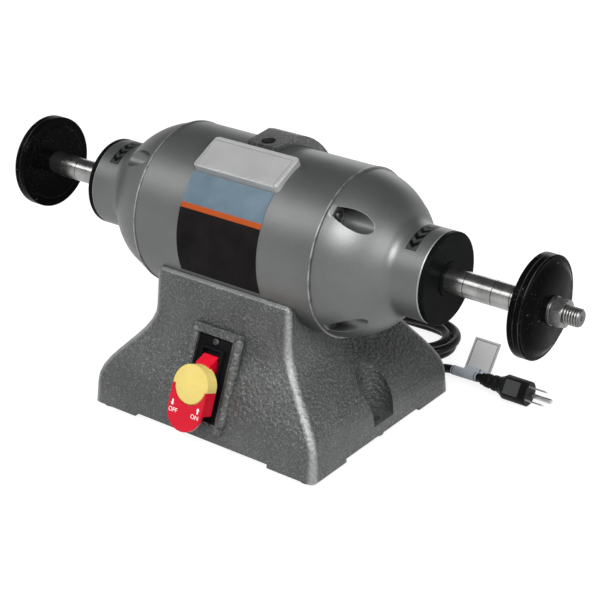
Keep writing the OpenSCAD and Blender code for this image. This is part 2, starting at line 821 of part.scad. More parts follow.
// End bells
module dome_solid() {
    turned(concat(
        [[0, seam]],
        [for (p = arc(dome_cx, 0, band_r, seam_turn, fillet_turn, arc_steps)) [p[1], p[0]]],
        [for (p = arc(fillet_x, fillet_r, dome_fillet, 180 + fillet_turn + 4, 270, fillet_steps)) [p[1],
            p[0]]],
        [[collar_r, collar_end - 0.8], [collar_r - 0.8, collar_end], [0, collar_end]]
    ));
}
module dome_hollow() {
    inner_seam = acos(dome_set / dome_in);
    inner_end = asin(bearing_r / dome_in);
    turned(concat(
        [[0, seam - through], [dome_in * sin(inner_seam), seam - through]],
        [for (p = arc(dome_cx, 0, dome_in, inner_seam, inner_end, arc_steps)) [p[1], p[0]]],
        [[bearing_r + run_gap / 5, bearing_back + washer_play], [0, bearing_back + washer_play]]
    ));
}
module end_bell() {
    difference() {
        union() {
            difference() {
                dome_solid();
                dome_hollow();
            }
            intersection() {
                dome_solid();
                at_axis() bell_places() translate([0, 0, seam]) cylinder(h = 44, r = scoop_r + scoop_wall);
            }
        }
        at_axis() bell_places() translate([0, 0, scoop_face]) cylinder(h = scoop_reach, r = scoop_r);
        at_axis() bell_places() translate([0, 0, seam - through])
            cylinder(h = 20, r = screw_r + run_gap, $fn = 32);
        ring(0, cover_hole_r, collar_end - bearing_lip - through, collar_end + through);
    }
}
module bell_screws() {
    at_axis() bell_places() translate([0, 0, scoop_face]) rotate([0, 0, 20])
        pan_screw(screw_head_r, screw_head_h, screw_r, screw_len);
}
module end_cover() {
    turned([
        [seal_r, collar_end - cover_spigot], [cover_hole_r - fit_gap, collar_end - cover_spigot],
        [cover_hole_r - fit_gap, collar_end], [collar_r, collar_end], [collar_r, cover_end - cover_bevel],
        [collar_r - cover_bevel, cover_end], [seal_r, cover_end]
    ]);
}
module shaft_seal() {
    ring(sleeve_r + run_gap, seal_r, cover_end + seal_proud - seal_t, cover_end + seal_proud);
}
module arrow_sticker() {
    curved_skin(collar_r + skin_gap, sticker_t, collar_end - sticker_from, collar_end - sticker_to,
        sticker_low, sticker_high);
}
module left_end_bell() { color("darkgray") to_left() end_bell(); }
module right_end_bell() { color("darkgray") end_bell(); }
module left_bell_screws() { color("silver") to_left() bell_screws(); }
module right_bell_screws() { color("silver") bell_screws(); }
module left_end_cover() { color("black") to_left() end_cover(); }
module right_end_cover() { color("black") end_cover(); }
module left_arrow_sticker() { color("gray") to_left() arrow_sticker(); }
module right_arrow_sticker() { color("gray") arrow_sticker(); }
module left_shaft_seal() { color("black") to_left() shaft_seal(); }
module right_shaft_seal() { color("black") shaft_seal(); }

// Bearings
module bearing() {
    mid = (bearing_front + bearing_back) / 2;
    difference() {
        union() {
            ring(journal_r + run_gap, journal_r + race_t, bearing_front, bearing_back);
            ring(bearing_r - race_t, bearing_r, bearing_front, bearing_back);
        }
        at_axis() translate([0, 0, mid]) rotate_extrude() translate([ball_pitch_r, 0])
            circle(r = ball_r + run_gap);
    }
    at_axis() translate([0, 0, mid]) for (k = [0:ball_count - 1]) rotate([0, 0, 360 * k / ball_count])
        translate([ball_pitch_r, 0, 0]) sphere(r = ball_r);
}
module left_bearing() { color("silver") to_left() bearing(); }
module right_bearing() { color("silver") bearing(); }
module bearing_washers() {
    color("silver") both_ends() ring(bearing_r - race_t, bearing_r - fit_gap, bearing_back,
        bearing_back + washer_play);
}

// Stator and rotor
module stator_core() {
    bore = rotor_d / 2 + air_gap;
    color("dimgray") difference() {
        ring(bore, band_in - run_gap, -stack_len / 2, stack_len / 2);
        at_axis() for (k = [0:slots - 1]) rotate([0, 0, 360 * k / slots])
            translate([slot_in, -slot_w / 2, -stack_len]) cube([slot_out - slot_in, slot_w, 2 * stack_len]);
    }
}
module stator_windings() {
    end = stack_len / 2 + coil_stand;
    color("peru") {
        both_ends() turned([
            [coil_in, end], [coil_out, end], [coil_out, end + coil_len - 5], [coil_out - 5, end + coil_len],
            [coil_in + 5, end + coil_len], [coil_in, end + coil_len - 5]
        ]);
        at_axis() for (k = [0:slots - 1]) rotate([0, 0, 360 * k / slots])
            translate([slot_in + coil_gap, -slot_w / 2 + coil_gap, -end - 1])
            cube([slot_out - slot_in - 2 * coil_gap, slot_w - 2 * coil_gap, 2 * end + 2]);
    }
}
module rotor_core() {
    color("gray") union() {
        ring(web_r + run_gap / 5, rotor_d / 2, -stack_len / 2, stack_len / 2);
        both_ends() ring(web_r + 6, rotor_d / 2 - 2, stack_len / 2 - through, stack_len / 2 + 8);
    }
}
module shaft() {
    side = [
        [web_r, bearing_front - loose_gap], [journal_r, bearing_front - loose_gap],
        [journal_r, bearing_back + 0.2], [sleeve_r, bearing_back + 0.2], [sleeve_r, shoulder_x],
        [arbor_r, shoulder_x], [arbor_r, arbor_tip - tip_chamfer], [arbor_r - tip_chamfer, arbor_tip],
        [centre_hole_r, arbor_tip], [0, arbor_tip - centre_hole_depth]
    ];
    color("lightgray") turned(concat(
        [for (i = [len(side) - 1:-1:0]) [side[i][0], -side[i][1]]],
        side
    ));
}
module sleeve(from, to) {
    ring(arbor_r + run_gap, sleeve_r, from, to);
}
module left_long_sleeve() { color("lightgray") to_left() sleeve(shoulder_x, long_end); }
module right_long_sleeve() { color("lightgray") sleeve(shoulder_x, long_end); }
module left_short_sleeve() { color("lightgray") to_left() sleeve(long_end, short_end); }
module right_short_sleeve() { color("lightgray") sleeve(long_end, short_end); }
module left_end_sleeve() { color("lightgray") to_left() sleeve(short_end, flange_x); }
module right_end_sleeve() { color("lightgray") sleeve(short_end, flange_x); }

// Wheel flanges, washers and nuts
module inner_flange() {
    turned([
        [arbor_r + run_gap, flange_x], [flange_r - 9, flange_x], [flange_r - 8, flange_x + rim_bevel],
        [flange_r - 0.8, flange_x + rim_bevel], [flange_r, flange_x + rim_bevel + 0.8],
        [flange_r, flange_mid], [arbor_r + run_gap, flange_mid]
    ]);
}
module outer_flange() {
    turned([
        [arbor_r + run_gap, flange_mid + fit_gap], [flange_r, flange_mid + fit_gap],
            [flange_r, flange_out - rim_bevel],
        [flange_r - rim_bevel, flange_out], [flange_r - rim_bevel - cone_land, flange_out],
        [plateau_r, plateau_x],
        [arbor_r + run_gap, plateau_x]
    ]);
}
module arbor_washer() {
    ring(arbor_r + run_gap, washer_d / 2, plateau_x, nut_x);
}
module arbor_nut() {
    difference() {
        intersection() {
            at_axis() translate([0, 0, nut_x + fit_gap]) rotate([0, 0, nut_turn])
                cylinder(h = nut_t, d = nut_af / cos(30), $fn = 6);
            turned([
                [0, nut_x + fit_gap], [nut_af / 2, nut_x + fit_gap],
                    [nut_af / 2 / cos(30) + 0.2, nut_x + 2],
                [nut_af / 2 / cos(30) + 0.2, nut_x + nut_t - 2], [nut_af / 2, nut_x + nut_t + fit_gap],
                    [0, nut_x + nut_t + fit_gap]
            ]);
        }
        ring(0, arbor_r + run_gap, nut_x - through, nut_x + nut_t + through);
    }
}
module left_inner_flange() { color("black") to_left() inner_flange(); }
module right_inner_flange() { color("black") inner_flange(); }
module left_outer_flange() { color("black") to_left() outer_flange(); }
module right_outer_flange() { color("black") outer_flange(); }
module left_arbor_washer() { color("silver") to_left() arbor_washer(); }
module right_arbor_washer() { color("silver") arbor_washer(); }
module left_arbor_nut() { color("silver") to_left() arbor_nut(); }
module right_arbor_nut() { color("silver") arbor_nut(); }

// Switch
module switch_plate() {
    color("black") at_switch() difference() {
        translate([0, -plate_h / 2, -plate_t]) linear_extrude(plate_t)
            polygon(rounded(plate_w / 2, plate_h / 2, 1.5, 3));
        translate([-switch_body_w / 2 - fit_gap, switch_mid - switch_body_h / 2 - fit_gap, -plate_t
            - through])
            cube([switch_body_w + 2 * fit_gap, switch_body_h + 2 * fit_gap, plate_t + 2 * through]);
        for (y = [-screw_inset, screw_inset - plate_h])
            translate([0, y, -plate_t - through])
                cylinder(h = plate_t + 2 * through, r = switch_screw_r + fit_gap, $fn = 24);
    }
}
module switch_screws() {
    color("silver") at_switch() for (y = [-screw_inset, screw_inset - plate_h])
        translate([0, y, 0]) pan_screw(switch_screw_head_r, switch_screw_head_h, switch_screw_r,
            switch_screw_len);
}
module switch_bezel() {
    color("black") at_switch() difference() {
        translate([0, switch_mid, 0]) linear_extrude(bezel_t)
            polygon(rounded(bezel_w / 2, bezel_h / 2, 1.5, 3));
        translate([-bezel_w / 2 + bezel_rim, switch_mid - bezel_h / 2 + bezel_rim, -through])
            cube([bezel_w - 2 * bezel_rim, bezel_h - 2 * bezel_rim, bezel_t + 2 * through]);
        translate([-bezel_w / 2 + 0.8, pin_y, pin_w]) rotate([0, 90, 0])
            cylinder(h = bezel_w - 1.6, r = pin_r + 0.02, $fn = 32);
    }
}
module switch_body() {
    color("black") at_switch()
        translate([-switch_body_w / 2, switch_mid - switch_body_h / 2, -switch_body_depth])
        cube([switch_body_w, switch_body_h, switch_body_depth]);
}
module paddle_pin() {
    color("silver") at_switch() translate([-bezel_w / 2 + 1, pin_y, pin_w]) rotate([0, 90, 0])
        cylinder(h = bezel_w - 2, r = pin_r, $fn = 32);
}
module paddle_plan() {
    polygon(concat(
        [[-paddle_w / 2, block_top], [-paddle_w / 2, block_low]],
        arc(0, block_low, paddle_w / 2, 180 + lip_turn, 360 - lip_turn, 12),
        [[paddle_w / 2, block_low], [paddle_w / 2, block_top]]
    ));
}
module paddle() {
    color("crimson") at_switch() difference() {
        union() {
            translate([-arm_w / 2, 0, 0]) rotate([90, 0, 90]) linear_extrude(arm_w) polygon(concat(
                arc(pin_y, pin_w, arm_eye, eye_from, eye_to, 8),
                [[arm_rise_y, arm_front], [arm_low, arm_front], [arm_low, arm_back]]
            ));
            translate([-paddle_w / 2, block_low, block_back])
                cube([paddle_w, block_top - block_low, paddle_rise - block_back]);
            translate([0, 0, paddle_rise - lip_t]) linear_extrude(lip_t) paddle_plan();
        }
        translate([0, key_y, key_seat]) cylinder(h = 20, r = key_low_r + key_gap);
        translate([-paddle_w, block_top, key_seat]) cube([2 * paddle_w, key_d, 20]);
        translate([-tongue_w / 2 - key_gap, tongue_y - tongue_h - key_gap, tongue_deep - key_gap])
            cube([tongue_w + 2 * key_gap, tongue_h + 2 * key_gap, 20]);
        translate([-arm_w, pin_y, pin_w]) rotate([0, 90, 0])
            cylinder(h = 2 * arm_w, r = pin_r + run_gap, $fn = 32);
    }
}
module safety_key() {
    face = paddle_rise - 0.4;
    color("khaki") at_switch() {
        translate([0, key_y, key_seat + key_gap]) rotate_extrude() polygon([
            [0, 0], [key_low_r, 0], [key_low_r, face - key_seat - 1.2],
                [key_low_r - 1, face - key_seat - key_gap],
            [key_low_r / 2, face - key_seat + 0.7 * key_dome], [0, face - key_seat + key_dome]
        ]);
        difference() {
            translate([0, key_y, block_back + 0.4]) cylinder(h = face - block_back - 0.4, d = key_d);
            translate([-key_d, block_top + key_gap - key_d, 0]) cube([2 * key_d, key_d, 2 * key_seat]);
            translate([-arm_w / 2 - key_gap, -key_d * 2, 0])
                cube([arm_w + 2 * key_gap, key_d * 2, arm_front + key_gap]);
        }
        translate([-tongue_w / 2, tongue_y - tongue_h, tongue_deep])
            cube([tongue_w, tongue_h, key_seat + 1 - tongue_deep]);
    }
}

// Capacitor and its clamp on the bottom plate
module capacitor() {
    color("black") translate([-capacitor_len / 2, capacitor_y, capacitor_z]) rotate([0, 90, 0]) {
        cylinder(h = capacitor_len, d = capacitor_d);
        for (y = [-6, 6]) translate([0, y, capacitor_len]) cylinder(h = 8, r = 1.2, $fn = 24);
    }
}
module capacitor_clamp() {
    color("silver") translate([-clamp_w / 2, capacitor_y, capacitor_z]) difference() {
        union() {
            rotate([0, 90, 0]) cylinder(h = clamp_w, d = capacitor_d + 2 * clamp_t);
            translate([0, -capacitor_d / 2 - clamp_tab, -capacitor_d / 2 - clamp_t])
                cube([clamp_w, capacitor_d + 2 * clamp_tab, clamp_t]);
        }
        translate([-through, 0, 0]) rotate([0, 90, 0])
            cylinder(h = clamp_w + 2 * through, d = capacitor_d + run_gap);
    }
}

// Cord and the pieces on it
module strain_relief() {
    color("black") translate([gland_x, 0, gland_z]) rotate([-90, 0, 0]) difference() {
        union() {
            translate([0, 0, gland_inner_y]) cylinder(h = gland_pad_y - gland_inner_y, r = gland_r);
            translate([0, 0, gland_pad_y]) cylinder(h = gland_flange_t, r = gland_flange_r);
            translate([0, 0, gland_pad_y])
                cylinder(h = relief_end_y - gland_pad_y, r1 = gland_r, r2 = relief_end_r);
        }
        translate([0, 0, gland_inner_y - through])
            cylinder(h = relief_end_y - gland_inner_y - through, r = cord_r + run_gap);
    }
}
module cord_lead() { color("black") tube(lead_route, cord_r, 12); }
module cord_hank() { color("black") tube(hank_route, cord_r, 6); }
module cord_tail() { color("black") tube(tail_route, cord_r, 12); }
module hank_tie() {
    half = fold_r - waist_pull + cord_r + loose_gap;
    top = strand_high + waist_lift + cord_r + loose_gap;
    color("black") translate([hank_at[0], hank_at[1], 0]) rotate([0, 0, hank_turn])
        translate([tie_at - tie_w / 2, 0, 0]) difference() {
        translate([0, -half - tie_t, 0]) cube([tie_w, 2 * half + 2 * tie_t, top + tie_t]);
        translate([-through, -half, tie_t]) cube([tie_w + 2 * through, 2 * half, top - tie_t]);
    }
}
module cord_label() {
    way = wrap_end - wrap_start;
    turn = atan2(way[1], way[0]);
    climb = atan2(way[2], norm([way[0], way[1]]));
    color("lightsteelblue") {
        translate(wrap_start) rotate([0, 0, turn]) rotate([0, 90 - climb, 0]) difference() {
            cylinder(h = norm(way), r = wrap_r, $fn = 48);
            translate([0, 0, -through])
                cylinder(h = norm(way) + 2 * through, r = cord_r + run_gap, $fn = 48);
        }
        difference() {
            translate([flag_x, flag_y, flag_z]) rotate([-flag_lean, 0, 0]) cube([flag_w, flag_t, flag_h]);
            at_plug() translate([0, 0, -through]) cylinder(h = neck_len, r = neck_low_r + loose_gap);
        }
    }
}
module plug_body() {
    color("black") at_plug() {
        rotate_extrude($fn = 48) polygon([
            [0, cord_d], [cord_r + run_gap, cord_d], [cord_r + run_gap, 3], [cord_r + 0.7, 0],
            [cord_r + 1.4, 0], [cord_r + 1.6, 3], [neck_low_r, 4], [7, 9], [6.2, 10], [6.4, 11.5],
                [7.4, 12.5],
            [7.7, 16], [7, 17], [7.2, 18.5], [8.2, 19.5], [neck_r, neck_len + through],
                [0, neck_len + through]
        ]);
        intersection() {
            rotate_extrude($fn = 64) polygon([
                [0, neck_len], [8.4, neck_len], [plug_r, neck_len + 6], [plug_r, neck_len + plug_len - 1],
                [plug_r - 1, neck_len + plug_len], [0, neck_len + plug_len]
            ]);
            translate([-plug_flat_top, -plug_half_w, 0])
                cube([plug_flat_top + plug_flat_low, 2 * plug_half_w, neck_len + plug_len]);
        }
    }
}
module plug_blades() {
    color("silver") at_plug() for (s = [-1, 1])
        translate([-blade_offset - blade_w / 2, s * blade_gap / 2 - blade_t / 2, neck_len + plug_len])
        cube([blade_w, blade_t, blade_len]);
}
module plug_ground_pin() {
    color("silver") at_plug() translate([ground_offset, 0, neck_len + plug_len])
        rotate_extrude($fn = 32) polygon(concat(
        [[0, 0], [ground_r, 0]],
        arc(0, ground_len - ground_r, ground_r, 0, 90, 5)
    ));
}

union() {  // cord_hank
    echo(least_gap_of_the_hank = least_gap());
    echo(cord_length = path_len(lead_route) + path_len(hank_route) + path_len(tail_route));
}
base_casting();
bottom_plate();
bottom_screws();
rubber_feet();
foot_screws();
motor_bolts();
motor_band();
raised_plate();
data_label();
left_end_bell();
right_end_bell();
left_bell_screws();
right_bell_screws();
left_end_cover();
right_end_cover();
left_arrow_sticker();
right_arrow_sticker();
left_shaft_seal();
right_shaft_seal();
left_bearing();
right_bearing();
bearing_washers();
stator_core();
stator_windings();
rotor_core();
shaft();
left_long_sleeve();
right_long_sleeve();
left_short_sleeve();
right_short_sleeve();
left_end_sleeve();
right_end_sleeve();
left_inner_flange();
right_inner_flange();
left_outer_flange();
right_outer_flange();
left_arbor_washer();
right_arbor_washer();
left_arbor_nut();
right_arbor_nut();
switch_plate();
switch_screws();
switch_bezel();
switch_body();
paddle_pin();
paddle();
safety_key();
capacitor();
capacitor_clamp();
strain_relief();
cord_lead();
cord_hank();
hank_tie();
cord_tail();
cord_label();
plug_body();
plug_blades();
plug_ground_pin();
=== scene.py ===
import json
from math import cos, pi, radians, sin, tau

import bmesh
import bpy
from mathutils import Matrix, Vector


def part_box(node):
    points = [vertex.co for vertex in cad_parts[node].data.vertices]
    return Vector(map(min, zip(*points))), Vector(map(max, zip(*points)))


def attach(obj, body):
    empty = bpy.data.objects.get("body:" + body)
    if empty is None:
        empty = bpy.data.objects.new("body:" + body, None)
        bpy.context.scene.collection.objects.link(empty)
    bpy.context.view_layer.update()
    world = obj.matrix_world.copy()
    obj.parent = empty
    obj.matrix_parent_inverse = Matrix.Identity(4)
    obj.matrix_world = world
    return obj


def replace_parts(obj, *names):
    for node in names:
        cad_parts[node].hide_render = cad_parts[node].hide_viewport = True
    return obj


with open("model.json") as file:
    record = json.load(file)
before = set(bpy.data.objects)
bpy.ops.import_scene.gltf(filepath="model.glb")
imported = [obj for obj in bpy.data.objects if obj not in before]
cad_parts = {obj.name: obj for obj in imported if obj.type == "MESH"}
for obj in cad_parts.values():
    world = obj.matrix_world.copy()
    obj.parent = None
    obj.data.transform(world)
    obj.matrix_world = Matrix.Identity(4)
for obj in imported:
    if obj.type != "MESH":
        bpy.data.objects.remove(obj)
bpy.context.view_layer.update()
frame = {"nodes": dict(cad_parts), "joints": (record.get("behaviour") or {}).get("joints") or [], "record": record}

# A bench buffer on a pale floor. Sizes are in metres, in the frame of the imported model:
# X runs along the shaft, -Y is the switch side and the feet stand on Z = 0.
joints = {joint["name"]: joint for joint in frame["joints"]}
MM = 0.001
AXIS_Z = joints["rotor_spin"]["pos_m"][2]
BODIES = frame["record"]["behaviour"]["bodies"]

# Base casting: where its ogee sides begin and end, and the lips of its saddle
FLARE_LOW, FLARE_HIGH = 23.5 * MM, 105.5 * MM
FOOT_X, FOOT_Y = 125.2 * MM, 105.5 * MM
NECK_X, NECK_Y = 75.5 * MM, 75.4 * MM
LIP_Z = 141.5 * MM
LIP_FROM_Y = 66 * MM

# Motor: the seams beside its band, the ends of its collars, and the lug on its top
SEAM_X = 97.4 * MM
COLLAR_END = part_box("right_end_bell")[1].x
LUG_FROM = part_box("right_end_bell")[1].y + 1.2 * MM
LUG_HOLE_X, LUG_HOLE_R = -3.5 * MM, 6.4 * MM
PLATE_RISE = 0.485

# Shaft and flanges: joints between the sleeves, edges of the rims, and the arbors' thread
SLEEVES = ("long_sleeve", "short_sleeve", "end_sleeve")
JOINTS_X = [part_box("right_" + sleeve)[0].x for sleeve in SLEEVES]
RIM_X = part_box("right_outer_flange")[0].x
RIM_EDGES_X = [RIM_X, RIM_X + 5 * MM]
RIM_R = 42 * MM
ARBOR_R = 7.94 * MM
SHOULDER_R = 11.1 * MM
THREAD_FROM = 283 * MM
THREAD_PITCH = 2.31 * MM
THREAD_DEPTH = 1.15 * MM
THREAD_FLANKS = 1.3
RINGS_PER_TURN = 8
CHAMFER = 1.4 * MM
CENTRE_R, CENTRE_DEPTH = 2.2 * MM, 3.5 * MM
SHAFT_SIDES = 40

# Switch: the middle of its plate, how far the plate leans back, and the paddle's face above it
SWITCH_AT = (0, -79 * MM, AXIS_Z - 79 * MM)
SWITCH_LEAN = 22
PADDLE_FACE = 24.03 * MM
PRINT_RISE = 0.05 * MM

# Cord: the same route as the solids', with the hank worked out from its folds. A loop of the hank
# is half a run, a fold, a run, a fold and half a run, and is counted in steps.
CORD_D = 8.5 * MM
CORD_SIDES = 16
FOLD_R = 40.8 * MM
STRAND_STEP = 10 * MM
STRAND_LOW, STRAND_HIGH = 3.4 * MM, 12.4 * MM
WAIST_PULL = 17 * MM
WAIST_LIFT = 1.6 * MM
WAIST_REACH = 40 * MM
HALF_RUN = 68 * MM
HANK_TURN = radians(-17)
START_OUT = 0.6 * MM
LOOPS = 3
HALF_STEPS = 3
FOLD_STEPS = 2 * HALF_STEPS
FIRST_FOLD, RUN_BACK, SECOND_FOLD, LAST_RUN = (HALF_STEPS + k * FOLD_STEPS for k in range(4))
LOOP = 4 * FOLD_STEPS
PLACES_PER_STEP = 4
PLACES_PER_POINT = 5
LEAD_ROUTE = [
    (-0.0685, 0.128, 0.026), (-0.0685, 0.1365, 0.026), (-0.0651, 0.1508, 0.0244),
    (-0.0556, 0.1632, 0.0206), (-0.043, 0.1706, 0.0164), (-0.0301, 0.1725, 0.014),
    (-0.022, 0.17, 0.014),
]
TAIL_ROUTE = [
    (0.035, 0.134, 0.0034), (0.044, 0.1312, 0.0034), (0.054, 0.129, 0.0034),
    (0.064, 0.1284, 0.0034), (0.074, 0.1296, 0.0036), (0.084, 0.1322, 0.0042),
    (0.094, 0.1353, 0.0053), (0.103, 0.1376, 0.0066), (0.113, 0.1378, 0.008),
    (0.144, 0.1321, 0.0121), (0.149, 0.1315, 0.0125), (0.1575, 0.1315, 0.0125),
]

# Cord's end: the plug, rolled about X, and the tag that leans back on its sleeve round the cord
PLUG_AT = (0.149, 0.1315, 0.0125)
PLUG_ROLL = 57
SLEEVE_ENDS = TAIL_ROUTE[8:10]
SLEEVE_TOP = 17.5 * MM
TAG_CORNER = (0.1255, 0.1348, 0.0124)
TAG_W, TAG_H = 28 * MM, 35 * MM
TAG_LEAN = 37


# Camera: turned to the right of the switch and looking down on the machine
def add_camera(
    turn=36.64, height=25.52, roll=0.21, distance=1.50465, focus=1670.21,
    aim=(0.03147, 0, 0.11116), picture_width=600,
):
    """Angles are in degrees. The focus is in pixels of a picture of the given width."""
    side, lift, lean = radians(turn), radians(height), radians(roll)
    back = Vector((sin(side) * cos(lift), -cos(side) * cos(lift), sin(lift)))
    level = Vector((cos(side), sin(side), 0))
    up = back.cross(level)
    right = level * cos(lean) + up * sin(lean)
    top = up * cos(lean) - level * sin(lean)
    place = Vector(aim) + back * distance
    camera = bpy.data.objects.new("camera", bpy.data.cameras.new("camera"))
    camera.data.sensor_width = 36
    camera.data.lens = focus / picture_width * camera.data.sensor_width
    camera.matrix_world = Matrix((
        (right.x, top.x, back.x, place.x),
        (right.y, top.y, back.y, place.y),
        (right.z, top.z, back.z, place.z),
        (0, 0, 0, 1),
    ))
    bpy.context.scene.collection.objects.link(camera)
    bpy.context.scene.camera = camera


# Surfaces: a finish is one material, and a Value is a number that varies over it
class Value:
    """A number, colour or vector in a finish. Sums and products of numbers add Math nodes."""

    def __init__(self, finish, socket):
        self.finish = finish
        self.socket = socket

    def __add__(self, other):
        return self.finish.math("ADD", self, other)

    def __radd__(self, other):
        return self.finish.math("ADD", other, self)

    def __sub__(self, other):
        return self.finish.math("SUBTRACT", self, other)

    def __rsub__(self, other):
        return self.finish.math("SUBTRACT", other, self)

    def __mul__(self, other):
        return self.finish.math("MULTIPLY", self, other)

    def __truediv__(self, other):
        return self.finish.math("DIVIDE", self, other)

    def __abs__(self):
        return self.finish.math("ABSOLUTE", self)


class Finish:
    """A material built round one shader, whose constants are given by their socket names."""

    def __init__(self, name, constants):
        self.material = bpy.data.materials.new(name)
        self.material.use_nodes = True
        self.tree = self.material.node_tree
        self.shader = self.tree.nodes["Principled BSDF"]
        for socket, value in constants.items():
            self.shader.inputs[socket].default_value = value

    def node(self, kind, settings, values, output=0):
        made = self.tree.nodes.new(kind)
        for name, value in settings.items():
            if name == "stops":
                self.set_stops(made.color_ramp, value)
            else:
                setattr(made, name, value)
        for name, value in values.items():
            self.fill(made.inputs[name], value)
        return Value(self, made.outputs[output])

    def set_stops(self, ramp, stops):
        for place, colour in stops[2:]:
            ramp.elements.new(place)
        for element, (place, colour) in zip(ramp.elements, sorted(stops)):
            element.position = place
            element.color = (*colour, 1)

    def fill(self, socket, value):
        if isinstance(value, Value):
            self.tree.links.new(value.socket, socket)
        else:
            socket.default_value = value

    def math(self, operation, *values):
        return self.node("ShaderNodeMath", {"operation": operation}, dict(enumerate(values)))

    def least(self, first, second):
        return self.math("MINIMUM", first, second)

    def most(self, first, second):
        return self.math("MAXIMUM", first, second)

    def position(self):
        """Where a point of the piece is at rest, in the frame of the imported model."""
        return self.node("ShaderNodeTexCoord", {}, {}, "Object")

    def xyz(self):
        split = self.node("ShaderNodeSeparateXYZ", {}, {"Vector": self.position()}).socket.node
        return [Value(self, split.outputs[axis]) for axis in "XYZ"]

    def stretched(self, factors):
        settings = {"operation": "MULTIPLY"}
        return self.node("ShaderNodeVectorMath", settings, {0: self.position(), 1: factors})

    def noise(self, scale, detail=3, factors=(1, 1, 1), rough=0.5):
        values = {
            "Vector": self.stretched(factors), "Scale": scale,
            "Detail": detail, "Roughness": rough,
        }
        return self.node("ShaderNodeTexNoise", {}, values)

    def cells(self, scale, factors=(1, 1, 1)):
        """Distance from the middles of cells scattered over the piece."""
        values = {"Vector": self.stretched(factors), "Scale": scale}
        return self.node("ShaderNodeTexVoronoi", {}, values)

    def specks(self, scale, size, factors=(1, 1, 1)):
        """Sparse round specks: 1 in a speck and 0 round it."""
        return self.step(self.cells(scale, factors), size, 0.6 * size)

    def step(self, value, low, high):
        """0 at low and 1 at high, smooth between them; high may be the smaller one."""
        settings = {"interpolation_type": "SMOOTHSTEP"}
        values = {"Value": value, "From Min": low, "From Max": high}
        return self.node("ShaderNodeMapRange", settings, values)

    def band(self, value, low, high, soft):
        """1 between low and high, with soft edges."""
        above = self.step(value, low - soft, low + soft)
        return above * self.step(value, high + soft, high - soft)

    def colours(self, value, *stops):
        return self.node("ShaderNodeValToRGB", {"stops": stops}, {"Fac": value})

    def mix(self, factor, first, second):
        values = {0: factor, 6: self.colour(first), 7: self.colour(second)}
        return self.node("ShaderNodeMix", {"data_type": "RGBA"}, values, 2)

    def colour(self, colour):
        return colour if isinstance(colour, Value) else (*colour, 1)

    def bump(self, height, depth):
        """Normal of a surface whose height varies by depth, in metres."""
        return self.node("ShaderNodeBump", {}, {"Height": height, "Distance": depth, "Strength": 1})

    def set(self, **sockets):
        names = {
            "colour": "Base Color", "rough": "Roughness", "metal": "Metallic", "normal": "Normal",
        }
        for name, value in sockets.items():
            self.fill(self.shader.inputs[names[name]], value)
        return self.material


def axis_distance(finish, y, z):
    """Distance of a point from the shaft's axis."""
    return finish.math("SQRT", y * y + (z - AXIS_Z) * (z - AXIS_Z))


def axis_angle(finish, y, z):
    """Turn of a point round the shaft's axis in degrees, from the switch side up to the top."""
    return finish.math("ARCTAN2", z - AXIS_Z, y * -1) * (180 / pi)


def rings_at(finish, x, places, outer, inner):
    """1 on thin rings round the shaft, at the given places on both of its sides."""
    reach = abs(x)
    rings = 0
    for place in places:
        rings = rings + finish.step(abs(reach - place), outer, inner)
    return rings


def base_corner(finish, x, y, z):
    """1 on the ridges at the base's four corners and along the lips of the saddle."""
    up_flare = {"Value": z, "From Min": FLARE_LOW, "From Max": FLARE_HIGH}
    height = finish.node("ShaderNodeMapRange", {}, up_flare)
    flare = finish.math("COSINE", height * pi) * 0.5 + 0.5
    from_end = flare * (FOOT_X - NECK_X) + NECK_X - abs(x)
    from_side = flare * (FOOT_Y - NECK_Y) + NECK_Y - abs(y)
    corner = finish.step(finish.most(from_end, from_side), 7.5 * MM, 2 * MM)
    near_edge = finish.step(abs(y), LIP_FROM_Y, LIP_FROM_Y + 1.5 * MM)
    lip = finish.step(z, LIP_Z - 2.2 * MM, LIP_Z - 0.6 * MM) * near_edge
    return finish.most(corner, lip)


def cast_paint():
    """Dark grey hammered paint on the rough casting, painted lighter along the ridges and the saddle's lips as
    wear and a painted highlight.
    """
    finish = Finish("cast_paint", {"IOR": 1.45})
    x, y, z = finish.xyz()
    grain = finish.noise(400, 4, rough=0.6)
    dimples = finish.cells(250)
    clouds = finish.noise(24, 4)
    ridge = base_corner(finish, x, y, z)
    flecks = finish.step(finish.noise(640, 4, rough=0.75), 0.5, 0.66)
    pits = finish.step(finish.noise(560, 3, rough=0.7), 0.48, 0.36)
    dark = finish.colours(clouds, (0.3, (0.054, 0.056, 0.056)), (0.7, (0.086, 0.089, 0.088)))
    pitted = finish.mix(pits * 0.5, dark, (0.035, 0.036, 0.036))
    speckled = finish.mix(flecks * 0.45, pitted, (0.3, 0.305, 0.305))
    # Painted highlight and wear: the ridges and the saddle's lips are painted lighter.
    highlight_and_wear = ridge * (finish.step(grain, 0.35, 0.6) * 0.14 + 0.34)
    worn = finish.mix(highlight_and_wear, speckled, (0.46, 0.465, 0.465))
    height = grain * 0.75 + dimples * 0.5
    return finish.set(
        colour=worn, rough=0.28 + grain * 0.18 + ridge * 0.08, metal=0.5,
        normal=finish.bump(height * (1 - ridge * 0.25), 1.4 * MM),
    )


